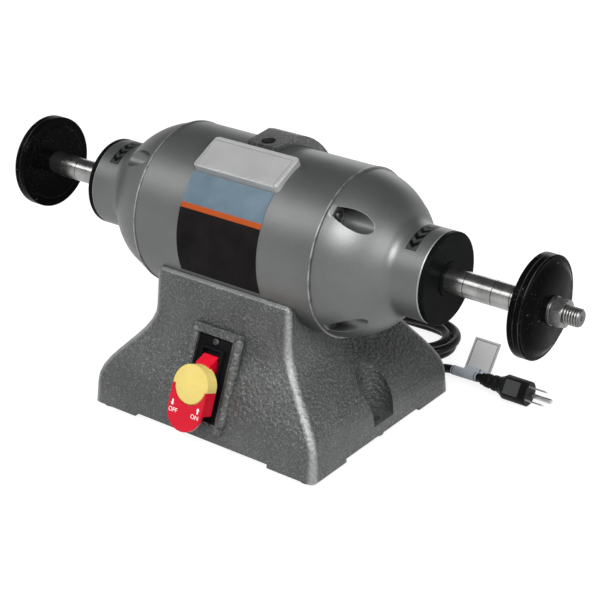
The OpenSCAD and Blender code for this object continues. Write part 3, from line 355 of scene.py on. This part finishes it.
def motor_paint():
    """Silver-grey paint with fine metallic grain, rough and mottled on the lug, with wear and a painted highlight
    along the seams and the collars' ends, and painted shade in the lug's hole.
    """
    finish = Finish("motor_paint", {"IOR": 1.4})
    x, y, z = finish.xyz()
    peel = finish.noise(330, 2)
    grain = finish.noise(2100, 3)
    clouds = finish.noise(14, 4)
    tone = clouds * 0.5 + grain * 0.5
    grey = finish.colours(tone, (0.34, (0.108, 0.111, 0.11)), (0.66, (0.162, 0.166, 0.164)))
    marked = finish.mix(finish.specks(55, 0.07) * 0.35, grey, (0.1, 0.1, 0.1))

    lug = finish.step(axis_distance(finish, y, z), LUG_FROM, LUG_FROM + 1 * MM)
    skin = finish.noise(420, 4, rough=0.7)
    shaded = finish.mix(lug * 0.35, marked, (0.03, 0.03, 0.03))
    mottled = finish.mix(lug * finish.step(skin, 0.52, 0.64) * 0.5, shaded, (0.32, 0.325, 0.32))

    # Painted shade: the lug's hole is painted nearly black.
    along = x - LUG_HOLE_X
    from_hole = finish.math("SQRT", along * along + y * y)
    hole = finish.step(from_hole, LUG_HOLE_R + 0.2 * MM, LUG_HOLE_R - 0.2 * MM)
    hole = hole * finish.step(z, AXIS_Z + 60 * MM, AXIS_Z + 62 * MM)
    with_hole_shade = finish.mix(hole * 0.9, mottled, (0.012, 0.012, 0.012))

    # Painted highlight and wear: thin lighter lines along the seams and at the collars' ends.
    broken = finish.step(finish.noise(120, 3), 0.25, 0.6)
    seam = finish.band(abs(x), SEAM_X - 1.5 * MM, SEAM_X, 0.3 * MM) * broken
    collar = finish.step(abs(x), COLLAR_END - 1.6 * MM, COLLAR_END - 1 * MM)
    highlight_and_wear = finish.mix(finish.most(seam, collar) * 0.4, with_hole_shade, (0.62, 0.62, 0.62))
    return finish.set(
        colour=highlight_and_wear, rough=0.38 + grain * 0.08 + clouds * 0.04, metal=0.74 + clouds * 0.1,
        normal=finish.bump(peel + grain * 0.4 + skin * lug * 12, 0.06 * MM),
    )


def flange_enamel():
    """Glossy black enamel with dust, a few fine scuffs, and thin lighter lines on the rims' edges that are wear
    and a painted highlight.
    """
    finish = Finish("flange_enamel", {"IOR": 1.08})
    x, y, z = finish.xyz()
    edges = rings_at(finish, x, RIM_EDGES_X, 0.45 * MM, 0.2 * MM)
    at_rim = finish.step(axis_distance(finish, y, z), RIM_R - 0.5 * MM, RIM_R + 0.5 * MM)
    dust = finish.specks(420, 0.16) * finish.step(finish.noise(40, 3), 0.42, 0.6)
    lint = finish.specks(150, 0.1, (1, 0.25, 1))
    haze = finish.noise(30, 4)
    marks = finish.step(finish.noise(60, 5, (1, 5, 0.7), 0.7), 0.62, 0.7)
    # Painted highlight and wear: lighter lines on the rims' edges.
    worn = at_rim * edges * finish.step(haze, 0.35, 0.6)
    soiled = finish.mix(dust * 0.35 + lint * 0.25, (0.002, 0.002, 0.0022), (0.2, 0.2, 0.2))
    scuffs_and_edge_highlight = finish.mix(marks * 0.12 + worn * 0.5, soiled, (0.1, 0.1, 0.1))
    return finish.set(
        colour=scuffs_and_edge_highlight, rough=0.14 + haze * 0.2 + marks * 0.2 + dust * 0.2,
        normal=finish.bump(finish.noise(90, 2), 0.1 * MM),
    )


def cover_enamel():
    """Satin black paint on the end covers."""
    finish = Finish("cover_enamel", {"IOR": 1.07})
    haze = finish.noise(60, 4)
    grain = finish.noise(1200, 3)
    dust = finish.specks(300, 0.13)
    tone = finish.mix(dust * 0.3, (0.004, 0.0045, 0.0045), (0.14, 0.14, 0.14))
    return finish.set(
        colour=tone, rough=0.26 + haze * 0.25, normal=finish.bump(grain, 0.05 * MM),
    )


def turned_steel():
    """Bright steel with the fine rings that turning leaves, dark joints, a dull thread and painted shade in the
    thread's roots.
    """
    finish = Finish("turned_steel", {"IOR": 2.2})
    x, y, z = finish.xyz()
    rings = finish.noise(1, 3, (5200, 60, 60))
    stain = finish.noise(70, 4)
    pits = finish.specks(260, 0.1)
    tone = finish.colours(stain, (0.3, (0.19, 0.188, 0.184)), (0.65, (0.35, 0.347, 0.34)))
    aged = finish.mix(pits * 0.5, tone, (0.12, 0.1, 0.08))
    joint = rings_at(finish, x, JOINTS_X, 0.6 * MM, 0.3 * MM)
    thread = finish.step(abs(x), THREAD_FROM - 1 * MM, THREAD_FROM + 1 * MM)
    # Painted shade: the thread's roots are painted nearly black.
    root = finish.step(axis_distance(finish, y, z), 7.7 * MM, 7 * MM) * thread
    jointed = finish.mix(joint * 0.65, aged, (0.03, 0.03, 0.03))
    dulled = finish.mix(thread * 0.75, jointed, (0.2, 0.2, 0.195))
    with_root_shade = finish.mix(root * 0.9, dulled, (0.012, 0.012, 0.011))
    return finish.set(
        colour=with_root_shade, rough=0.14 + rings * 0.12 + stain * 0.06 + thread * 0.08,
        metal=0.96 - root * 0.5, normal=finish.bump(rings, 0.006 * MM),
    )


def worn_steel(name, dark, light):
    """Dull machined steel with scratches and dark spots, between two greys."""
    finish = Finish(name, {"IOR": 2})
    stain = finish.noise(130, 4)
    scratches = finish.noise(420, 4, (1, 3, 3), 0.7)
    greys = (0.32, (dark, dark, dark)), (0.66, (light, light, 0.98 * light))
    tone = finish.colours(stain * 0.6 + scratches * 0.4, *greys)
    spotted = finish.mix(finish.specks(300, 0.12) * 0.6, tone, (0.05, 0.045, 0.04))
    return finish.set(
        colour=spotted, rough=0.2 + stain * 0.16 + scratches * 0.08, metal=0.9,
        normal=finish.bump(scratches, 0.05 * MM),
    )


def plated_steel():
    """Zinc plating on the small fasteners, the bottom plate and the plug's pins."""
    finish = Finish("plated_steel", {"IOR": 2.0})
    stain = finish.noise(180, 4)
    brush = finish.noise(600, 3, (1, 4, 4))
    tone = finish.colours(stain, (0.3, (0.42, 0.42, 0.41)), (0.7, (0.63, 0.63, 0.62)))
    return finish.set(
        colour=tone, rough=0.24 + stain * 0.2, metal=0.94, normal=finish.bump(brush, 0.02 * MM),
    )


def plate_metal():
    """Bare satin metal, brushed along the plate's length, with a fine line inside its edge, painted darker as
    shade.
    """
    finish = Finish("plate_metal", {"IOR": 1.8})
    low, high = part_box("raised_plate")
    lower_edge = low.z + 4.4 * MM
    x, y, z = finish.xyz()
    from_end = finish.least(x - low.x, high.x - x)
    from_side = finish.least(z - lower_edge, high.z - z) / PLATE_RISE
    # Painted shade: a dark line just inside the plate's edge.
    line = finish.band(finish.least(from_end, from_side), 3.2 * MM, 3.9 * MM, 0.15 * MM)
    brush = finish.noise(1, 3, (40, 4200, 4200))
    clouds = finish.noise(24, 3)
    tone = finish.colours(clouds, (0.3, (0.4, 0.4, 0.402)), (0.7, (0.5, 0.5, 0.502)))
    with_shade_line = finish.mix(line * 0.55, tone, (0.12, 0.12, 0.12))
    return finish.set(
        colour=with_shade_line, rough=0.34 + brush * 0.16, metal=0.5,
        normal=finish.bump(brush * 0.06 - line, 0.25 * MM),
    )


def label_print():
    """Printed foil in three bands round the motor: blue-grey, a thin orange line and black."""
    orange_below, black_below, soft = 27.8, 24.2, 0.5
    finish = Finish("label_print", {"IOR": 1.09})
    x, y, z = finish.xyz()
    angle = axis_angle(finish, y, z)
    wash = finish.noise(40, 3)
    blue = finish.colours(wash, (0.3, (0.078, 0.113, 0.144)), (0.7, (0.115, 0.16, 0.197)))
    black = finish.colours(wash, (0.3, (0.006, 0.0055, 0.0055)), (0.7, (0.013, 0.011, 0.011)))
    line = finish.step(angle, orange_below, orange_below - soft)
    with_line = finish.mix(line, blue, (0.32, 0.062, 0.016))
    banded = finish.mix(finish.step(angle, black_below, black_below - soft), with_line, black)
    return finish.set(
        colour=banded, rough=0.3 + wash * 0.16,
        normal=finish.bump(finish.noise(110, 2), 0.05 * MM),
    )


def sticker_print(name, middle):
    """Grey foil with a row of black chevrons along the collar's turn, about its middle in X."""
    start, end = 50, 102
    mm_per_degree, pitch, slope, half_width = 0.72 * MM, 8.6 * MM, 0.95, 4.6 * MM
    finish = Finish(name, {"IOR": 1.15})
    x, y, z = finish.xyz()
    angle = axis_angle(finish, y, z)
    across = abs(x - middle)
    behind = (angle - (start + 0.5)) * mm_per_degree - across * slope
    printed = finish.step(across, half_width, half_width - 0.25 * MM)
    printed = printed * finish.band(angle, start, end, 0.4)
    ahead = finish.step(behind, -0.2 * MM, 0.2 * MM)
    chevron = finish.band(finish.math("FRACT", behind / pitch), 0.06, 0.56, 0.03)
    chevron = chevron * printed * ahead
    wear = finish.noise(300, 4)
    foil = finish.colours(wear, (0.3, (0.022, 0.023, 0.023)), (0.7, (0.045, 0.046, 0.046)))
    return finish.set(
        colour=finish.mix(chevron, foil, (0.002, 0.002, 0.002)), rough=0.3 + wear * 0.2,
        metal=0.1 - chevron * 0.1, normal=finish.bump(wear, 0.02 * MM),
    )


def moulded(name, dark, light, rough, scale=700, depth=0.05 * MM, ior=1.32, mark=None):
    """Moulded plastic or rubber: a fine spark texture, slow changes of tone and perhaps a mark."""
    finish = Finish(name, {"IOR": ior, "Specular IOR Level": 0.42})
    spark = finish.noise(scale, 3)
    clouds = finish.noise(35, 4)
    dust = finish.specks(330, 0.1)
    tone = finish.colours(clouds * 0.7 + spark * 0.3, (0.32, dark), (0.68, light))
    dusty = finish.mix(dust * 0.12, tone, (0.3, 0.3, 0.3))
    marked = mark(finish, dusty) if mark else dusty
    return finish.set(
        colour=marked, rough=rough + clouds * 0.14, normal=finish.bump(spark, depth),
    )


def tag_marks(finish, tone):
    """A dark line round the tag inside its edge, and rings at both ends of the sleeve."""
    x, y, z = finish.xyz()
    lean = radians(TAG_LEAN)
    margin, line_end = 1.9 * MM, 2.5 * MM
    from_left = x - TAG_CORNER[0]
    up = (y - TAG_CORNER[1]) * sin(lean) + (z - TAG_CORNER[2]) * cos(lean)
    from_side = finish.least(from_left, TAG_W - from_left)
    inset = finish.least(from_side, finish.least(TAG_H - up, up))
    on_tag = finish.step(z, SLEEVE_TOP - 0.3 * MM, SLEEVE_TOP + 0.3 * MM)
    line = finish.band(inset, margin, line_end, 0.1 * MM) * on_tag
    edge = finish.step(inset, margin, margin - 0.1 * MM) * on_tag
    start, end = (Vector(point) for point in SLEEVE_ENDS)
    way = (end - start).normalized()
    along = (x - start.x) * way.x + (y - start.y) * way.y + (z - start.z) * way.z
    from_end = finish.least(along, (end - start).length - along)
    ring = finish.band(from_end, 1.5 * MM, 2.7 * MM, 0.15 * MM) * (1 - on_tag)
    sheet = finish.mix(on_tag, tone, (0.62, 0.625, 0.62))
    bordered = finish.mix(edge * 0.6, sheet, (0.4, 0.4, 0.4))
    return finish.mix(finish.most(line, ring) * 0.9, bordered, (0.02, 0.022, 0.03))


def plug_inset(finish, tone):
    """The pale grey flat on the plug's upper face."""
    half_width, from_end, to_end = 7.2 * MM, 28 * MM, 43.5 * MM
    face = 9.5 * MM
    x, y, z = finish.xyz()
    roll = radians(PLUG_ROLL)
    out = (y - PLUG_AT[1]) * -sin(roll) + (z - PLUG_AT[2]) * cos(roll)
    across = (y - PLUG_AT[1]) * cos(roll) + (z - PLUG_AT[2]) * sin(roll)
    narrow = finish.step(abs(across), half_width, half_width - 0.3 * MM)
    flat = finish.step(out, face, face + 0.15 * MM) * narrow
    inset = flat * finish.band(x - PLUG_AT[0], from_end, to_end, 0.2 * MM)
    return finish.mix(inset * 0.9, tone, (0.075, 0.078, 0.076))


def winding_copper():
    """Varnished copper wire, laid round the ends of the stator."""
    finish = Finish("winding_copper", {"IOR": 1.6})
    x, y, z = finish.xyz()
    wires = finish.math("SINE", x * 5200 + finish.noise(60, 2) * 9)
    tone = finish.colours(finish.noise(90, 3), (0.3, (0.3, 0.1, 0.03)), (0.7, (0.56, 0.24, 0.09)))
    return finish.set(
        colour=tone, rough=0.32 + wires * 0.08, metal=0.7, normal=finish.bump(wires, 0.2 * MM),
    )


def lamination_steel():
    """Stacked sheet steel seen on edge."""
    finish = Finish("lamination_steel", {"IOR": 2.0})
    x, y, z = finish.xyz()
    sheet = 0.5 * MM
    sheets = finish.math("SINE", x * (tau / sheet))
    greys = (0.3, (0.14, 0.14, 0.15)), (0.7, (0.28, 0.28, 0.29))
    return finish.set(
        colour=finish.colours(finish.noise(50, 3), *greys), rough=0.4 + sheets * 0.06, metal=0.8,
        normal=finish.bump(sheets, 0.05 * MM),
    )


# Meshes
def add_mesh(name, mesh, material, body):
    piece = bpy.data.objects.new(name, mesh)
    bpy.context.scene.collection.objects.link(piece)
    piece.data.materials.clear()
    piece.data.materials.append(material)
    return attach(piece, body)


def mesh_of(name, bm, sharp=35):
    """Turns a bmesh into a smooth mesh that keeps the edges sharper than the given angle."""
    bmesh.ops.recalc_face_normals(bm, faces=bm.faces)
    for face in bm.faces:
        face.smooth = True
    for edge in bm.edges:
        edge.smooth = len(edge.link_faces) == 2 and edge.calc_face_angle(0) < radians(sharp)
    mesh = bpy.data.meshes.new(name)
    bm.to_mesh(mesh)
    bm.free()
    return mesh


def soften(piece, width, sharp):
    """Rounds the piece's sharp edges, as a real casting, moulding or turning has them."""
    bevel = piece.modifiers.new("edge", "BEVEL")
    bevel.width = width
    bevel.segments = 2
    bevel.limit_method = "ANGLE"
    bevel.angle_limit = radians(sharp)
    bevel.harden_normals = True
    bevel.use_clamp_overlap = True


def dress(node, material, edge, sharp=35):
    """Stands a clean copy of a node's shape in its place, with edges rounded by so many mm."""
    source = frame["nodes"][node]
    bm = bmesh.new()
    bm.from_mesh(source.data)
    bmesh.ops.remove_doubles(bm, verts=bm.verts, dist=1e-6)
    bmesh.ops.dissolve_limit(bm, angle_limit=radians(0.2), verts=bm.verts, edges=bm.edges)
    piece = add_mesh(node + ".dressed", mesh_of(node, bm, sharp), material, body_of(node))
    soften(piece, edge * MM, sharp)
    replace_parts(piece, node)
    return piece


def body_of(node):
    return next(body for body, nodes in BODIES.items() if node in nodes)


def grid_faces(bm, rows):
    """Faces between closed rows of points with as many points each."""
    for low, high in zip(rows, rows[1:]):
        for k in range(len(low)):
            after = (k + 1) % len(low)
            bm.faces.new((low[k], low[after], high[after], high[k]))


def paint_node(node, material):
    slots = frame["nodes"][node].data.materials
    slots.clear()
    slots.append(material)


# Cord
def smooth_wave(part):
    """1 at 0 and 0 at 1, level at both."""
    return (1 + cos(pi * min(1, max(0, part)))) / 2


def in_hank(x, y):
    """A place or a way in the hank's own plane, turned into the frame."""
    return Matrix.Rotation(HANK_TURN, 3, "Z") @ Vector((x, y, 0))


def hank_point(t, centre):
    """Place on the hank, t steps along it."""
    middle = LOOPS * LOOP / 2
    radius = FOLD_R - STRAND_STEP * min(t, 2 * middle - t) / LOOP
    crossing = smooth_wave((t - middle + HALF_STEPS) / FOLD_STEPS)
    level = STRAND_LOW + (STRAND_HIGH - STRAND_LOW) * crossing
    s = t % LOOP
    if FIRST_FOLD < s <= RUN_BACK or SECOND_FOLD < s <= LAST_RUN:
        end, fold = (1, FIRST_FOLD) if s <= RUN_BACK else (-1, SECOND_FOLD)
        turn = radians(180 / FOLD_STEPS * (s - fold) - end * 90)
        x, y = end * HALF_RUN + radius * cos(turn), radius * sin(turn)
    else:
        side = 1 if RUN_BACK < s <= SECOND_FOLD else -1
        if s <= FIRST_FOLD:
            from_middle = s
        elif s <= SECOND_FOLD:
            from_middle = HALF_STEPS - (s - RUN_BACK)
        else:
            from_middle = s - LOOP
        x = HALF_RUN * from_middle / HALF_STEPS
        y = side * (radius - WAIST_PULL * smooth_wave(abs(x) / HALF_RUN))
        level += WAIST_LIFT * smooth_wave(abs(x) / WAIST_REACH)
    return centre + in_hank(x, y) + Vector((0, 0, level))


def curve_through(points):
    """Smooth path through given points."""
    points = [Vector(p) for p in points]
    ends = [2 * points[0] - points[1], *points, 2 * points[-1] - points[-2]]
    path = []
    for a, b, c, d in zip(ends, ends[1:], ends[2:], ends[3:]):
        for k in range(PLACES_PER_POINT):
            u = k / PLACES_PER_POINT
            bend = (2 * a - 5 * b + 4 * c - d) * u**2 + (3 * b - a - 3 * c + d) * u**3
            path.append(0.5 * (2 * b + (c - a) * u + bend))
    return [*path, points[-1]]


def cord_path():
    start, end = Vector(LEAD_ROUTE[-1]), Vector(TAIL_ROUTE[0])
    centre = start + in_hank(0, 1) * (FOLD_R - WAIST_PULL + START_OUT)
    centre.z = 0
    into_tail = (Vector(TAIL_ROUTE[1]) - end).normalized()
    last = LOOPS * LOOP + 1
    into_hank = [start + CORD_D * in_hank(1, 0), hank_point(1, centre)]
    out_of_hank = [hank_point(last + 1, centre), end - CORD_D * into_tail]
    steps = [1 + k / PLACES_PER_STEP for k in range(1, last * PLACES_PER_STEP)]
    lead = curve_through([*LEAD_ROUTE, *into_hank])
    tail = curve_through([*out_of_hank, *TAIL_ROUTE])
    return [*lead, *(hank_point(step, centre) for step in steps), *tail]


def cord_ring(bm, place, way):
    """Points round the cord at a place, none of them below the floor."""
    side = way.cross(Vector((0, 0, 1))).normalized()
    rise = side.cross(way)
    ring = []
    for k in range(CORD_SIDES):
        turn = tau * (k + 0.5) / CORD_SIDES - pi / 2
        point = place + CORD_D / 2 * (cos(turn) * side + sin(turn) * rise)
        point.z = max(point.z, 0)
        ring.append(bm.verts.new(point))
    return ring


def add_cord(material):
    path = cord_path()
    bm = bmesh.new()
    rings = []
    for k, place in enumerate(path):
        way = (path[min(k + 1, len(path) - 1)] - path[max(k - 1, 0)]).normalized()
        rings.append(cord_ring(bm, place, way))
    grid_faces(bm, rings)
    bm.faces.new(rings[0])
    bm.faces.new(rings[-1])
    cord = add_mesh("power_cord", mesh_of("power_cord", bm, 50), material, "housing")
    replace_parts(cord, "cord_lead", "cord_hank", "cord_tail")
    length = sum((b - a).length for a, b in zip(path, path[1:]))
    return cord, path, length


# Shaft with its threads, turned about the X axis
def ring_about_shaft(bm, x, radius_at):
    """Points round the shaft's axis, at a radius given for each turn from 0 to a full one."""
    ring = []
    for k in range(SHAFT_SIDES):
        turn = tau * k / SHAFT_SIDES
        r = radius_at(turn)
        ring.append(bm.verts.new((x, r * cos(turn), AXIS_Z + r * sin(turn))))
    return ring


def round_ring(bm, x, r):
    return ring_about_shaft(bm, x, lambda turn: r)


def threaded_end(bm, side, tip):
    """Screw thread from THREAD_FROM out to the chamfered tip, with a centre hole in the end."""
    rows = []
    steps = int((tip - THREAD_FROM) / THREAD_PITCH * RINGS_PER_TURN)
    for k in range(steps + 1):
        x = THREAD_FROM + (tip - THREAD_FROM) * k / steps

        def radius(turn, x=x):
            turns = (x - THREAD_FROM) / THREAD_PITCH
            phase = (turns - side * turn / tau) % 1
            groove = max(0, 1 - abs(2 * phase - 1) * THREAD_FLANKS)
            in_thread = ARBOR_R - THREAD_DEPTH * groove * min(1, turns)
            return min(in_thread, ARBOR_R - CHAMFER + (tip - x))

        rows.append(ring_about_shaft(bm, side * x, radius))
    grid_faces(bm, rows)
    face = [round_ring(bm, side * tip, r) for r in (ARBOR_R - 2.2 * MM, CENTRE_R)]
    hole = round_ring(bm, side * (tip - CENTRE_DEPTH), 0.3 * MM)
    grid_faces(bm, [rows[-1], *face, hole])
    bm.faces.new(hole)
    return rows[0]


def add_shaft(material):
    box_low, box_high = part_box("shaft")
    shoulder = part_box("right_long_sleeve")[0].x
    bm = bmesh.new()
    right = threaded_end(bm, 1, box_high.x)
    left = threaded_end(bm, -1, -box_low.x)
    profile = (
        (-shoulder, ARBOR_R), (-shoulder, SHOULDER_R), (shoulder, SHOULDER_R), (shoulder, ARBOR_R),
    )
    grid_faces(bm, [left, *(round_ring(bm, x, r) for x, r in profile), right])
    shaft = add_mesh("threaded_shaft", mesh_of("threaded_shaft", bm, 40), material, "rotor")
    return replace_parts(shaft, "shaft")


# Words and arrows on the switch's paddle
def on_paddle(across, down):
    """Frame of a print on the paddle's face, placed across it and down the plate."""
    at_switch = Matrix.Translation(SWITCH_AT) @ Matrix.Rotation(radians(90 - SWITCH_LEAN), 4, "X")
    return at_switch @ Matrix.Translation((across, down, PADDLE_FACE))


def add_word(word, across, material):
    """A raised word on the paddle's face."""
    name = "word_" + word
    text = bpy.data.curves.new(name, "FONT")
    text.body = word
    text.size = 5.6 * MM
    text.align_x = "CENTER"
    text.align_y = "CENTER"
    text.extrude = PRINT_RISE
    piece = bpy.data.objects.new(name, text)
    bpy.context.scene.collection.objects.link(piece)
    piece.matrix_world = on_paddle(across, -69.6 * MM)
    text.materials.append(material)
    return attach(piece, "switch_paddle")


def add_arrow(word, across, falls, material):
    """A small printed arrow above a word on the paddle's face, pointing down or up."""
    half_shaft, half_head, neck, end = 0.8 * MM, 1.9 * MM, -0.4 * MM, 2.7 * MM
    outline = [
        (-half_shaft, neck), (-half_shaft, end), (half_shaft, end), (half_shaft, neck),
        (half_head, neck), (0, -end), (-half_head, neck),
    ]
    name = "arrow_" + word
    bm = bmesh.new()
    sign = 1 if falls else -1
    face = bm.faces.new([bm.verts.new((x, sign * y, 0)) for x, y in outline])
    raised = bmesh.ops.extrude_face_region(bm, geom=[face])
    for vert in raised["geom"]:
        if isinstance(vert, bmesh.types.BMVert):
            vert.co.z += PRINT_RISE
    piece = add_mesh(name, mesh_of(name, bm), material, "switch_paddle")
    piece.matrix_world = on_paddle(across, -63.2 * MM)
    return piece


# Floor and light
def add_floor():
    """A round paper floor whose rim curves up. Its glow is seen and mirrored, but lights nothing."""
    finish = Finish("floor_paper", {"Specular IOR Level": 0.1, "Emission Strength": 1})
    fibre = finish.noise(300, 3)
    tone = finish.colours(fibre, (0.3, (0.25, 0.25, 0.25)), (0.7, (0.27, 0.27, 0.27)))
    path = finish.node("ShaderNodeLightPath", {}, {}).socket.node
    camera, glossy, through = (Value(finish, path.outputs[ray]) for ray in (
        "Is Camera Ray", "Is Glossy Ray", "Is Transmission Ray",
    ))
    seen = finish.most(finish.most(camera, glossy), through)
    glow = finish.mix(seen, (0, 0, 0), (0.86, 0.86, 0.86))
    finish.fill(finish.shader.inputs["Emission Color"], glow)
    finish.set(colour=tone, rough=0.9 - fibre * 0.1)
    profile = (
        (0.5, 0), (2, 0), (6, 0), (6.6, 0.08), (7.1, 0.3), (7.5, 0.7), (7.7, 1.3), (7.8, 2.6),
    )
    bm = bmesh.new()
    turns = [tau * k / 64 for k in range(64)]
    rows = [[bm.verts.new((r * cos(a), r * sin(a), z)) for a in turns] for r, z in profile]
    grid_faces(bm, rows)
    bm.faces.new(rows[0])
    floor = bpy.data.objects.new("floor", mesh_of("floor", bm, 60))
    floor.data.materials.append(finish.material)
    bpy.context.scene.collection.objects.link(floor)


def add_lamp(name, place, aim, size, power):
    lamp = bpy.data.objects.new(name, bpy.data.lights.new(name, "AREA"))
    lamp.data.shape = "RECTANGLE"
    lamp.data.size, lamp.data.size_y = size
    lamp.data.energy = power
    lamp.location = place
    lamp.rotation_euler = (Vector(aim) - Vector(place)).to_track_quat("-Z", "Y").to_euler()
    bpy.context.scene.collection.objects.link(lamp)


def add_light():
    """The key lamp on the right of the switch, three fills and a faint sky."""
    add_lamp("front_left", (-1.2, -1.26, 1.6), (0, 0, 0.14), (1.3, 1.0), 17)
    add_lamp("front_right", (0.72, -1.4, 1.85), (0.03, 0, 0.14), (1.1, 0.9), 64)
    add_lamp("right_side", (1.9, -0.3, 1.0), (0.1, 0, 0.14), (1.0, 0.9), 22)
    add_lamp("back", (-0.8, 2.1, 0.6), (0, 0, 0.12), (1.2, 0.8), 5)
    world = bpy.data.worlds.new("studio")
    world.use_nodes = True
    background = world.node_tree.nodes["Background"]
    background.inputs["Color"].default_value = (0.95, 0.97, 1, 1)
    background.inputs["Strength"].default_value = 0.1
    bpy.context.scene.world = world


add_camera()
jacket = moulded(
    "cord_jacket", (0.006, 0.006, 0.0065), (0.014, 0.014, 0.015), rough=0.28,
    scale=900, depth=0.04 * MM, ior=1.26,
)
cord, cord_route, cord_length = add_cord(jacket)

casting = cast_paint()
motor = motor_paint()
enamel = flange_enamel()
cover = cover_enamel()
steel = turned_steel()
plated = plated_steel()
worn = worn_steel("worn_steel", dark=0.1, light=0.26)
blackened = worn_steel("blackened_steel", dark=0.03, light=0.09)
laminations = lamination_steel()
black_plastic = moulded(
    "black_plastic", (0.003, 0.003, 0.0035), (0.008, 0.008, 0.009), rough=0.28, ior=1.13,
)
foot_rubber = moulded("foot_rubber", (0.008, 0.008, 0.008), (0.02, 0.02, 0.02), rough=0.6)
plug_rubber = moulded(
    "plug_rubber", (0.007, 0.007, 0.008), (0.016, 0.016, 0.017), rough=0.34,
    scale=900, depth=0.04 * MM, ior=1.17, mark=plug_inset,
)
red = moulded(
    "paddle_red", (0.46, 0.001, 0.014), (0.54, 0.003, 0.02), rough=0.24,
    scale=500, depth=0.03 * MM, ior=1.45,
)
yellow = moulded(
    "key_yellow", (0.59, 0.46, 0.13), (0.67, 0.54, 0.17), rough=0.26,
    scale=500, depth=0.03 * MM, ior=1.45,
)
tag = moulded(
    "tag_film", (0.46, 0.5, 0.56), (0.56, 0.6, 0.65), rough=0.35,
    scale=400, depth=0.02 * MM, ior=1.45, mark=tag_marks,
)
white = moulded("white_print", (0.72, 0.72, 0.72), (0.84, 0.84, 0.84), rough=0.4, ior=1.45)

dress("base_casting", casting, 1.6)
dress("motor_band", motor, 0.4)
for side in ("left_", "right_"):
    dress(side + "end_bell", motor, 0.5)
    dress(side + "end_cover", cover, 0.3)
    dress(side + "shaft_seal", cover, 0.2)
    dress(side + "bell_screws", blackened, 0.15)
    for sleeve in SLEEVES:
        dress(side + sleeve, steel, 0.25)
    for flange in ("inner_flange", "outer_flange"):
        dress(side + flange, enamel, 0.3)
    for fastener in ("arbor_washer", "arbor_nut"):
        dress(side + fastener, worn, 0.25)
    paint_node(side + "bearing", steel)
    low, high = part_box(side + "arrow_sticker")
    arrows = sticker_print(side + "arrow_print", (low.x + high.x) / 2)
    paint_node(side + "arrow_sticker", arrows)
add_shaft(steel)
dress("raised_plate", plate_metal(), 0.3)
paint_node("data_label", label_print())
dress("switch_plate", black_plastic, 0.25)
dress("switch_bezel", black_plastic, 0.25)
dress("strain_relief", jacket, 0.25)
dress("plug_body", plug_rubber, 0.4)
dress("paddle", red, 0.6)
dress("safety_key", yellow, 2.4)
for word, word_across, arrow_across in (("OFF", -12.6, -14.6), ("ON", 12, 14)):
    add_word(word, word_across * MM, white)
    add_arrow(word, arrow_across * MM, word == "OFF", white)
dress("switch_screws", blackened, 0.12)
dress("hank_tie", black_plastic, 0.15)
dress("cord_label", tag, 0.1)
for node in ("plug_blades", "plug_ground_pin", "bottom_screws", "foot_screws", "motor_bolts"):
    dress(node, plated, 0.15)
dress("bottom_plate", plated, 0.2)
dress("rubber_feet", foot_rubber, 0.4)
for node in ("switch_body", "capacitor"):
    paint_node(node, black_plastic)
for node in ("capacitor_clamp", "bearing_washers"):
    paint_node(node, plated)
for node in ("stator_core", "rotor_core"):
    paint_node(node, laminations)
paint_node("paddle_pin", cover)
paint_node("stator_windings", winding_copper())

add_floor()
add_light()
bpy.context.scene.view_settings.view_transform = "Standard"
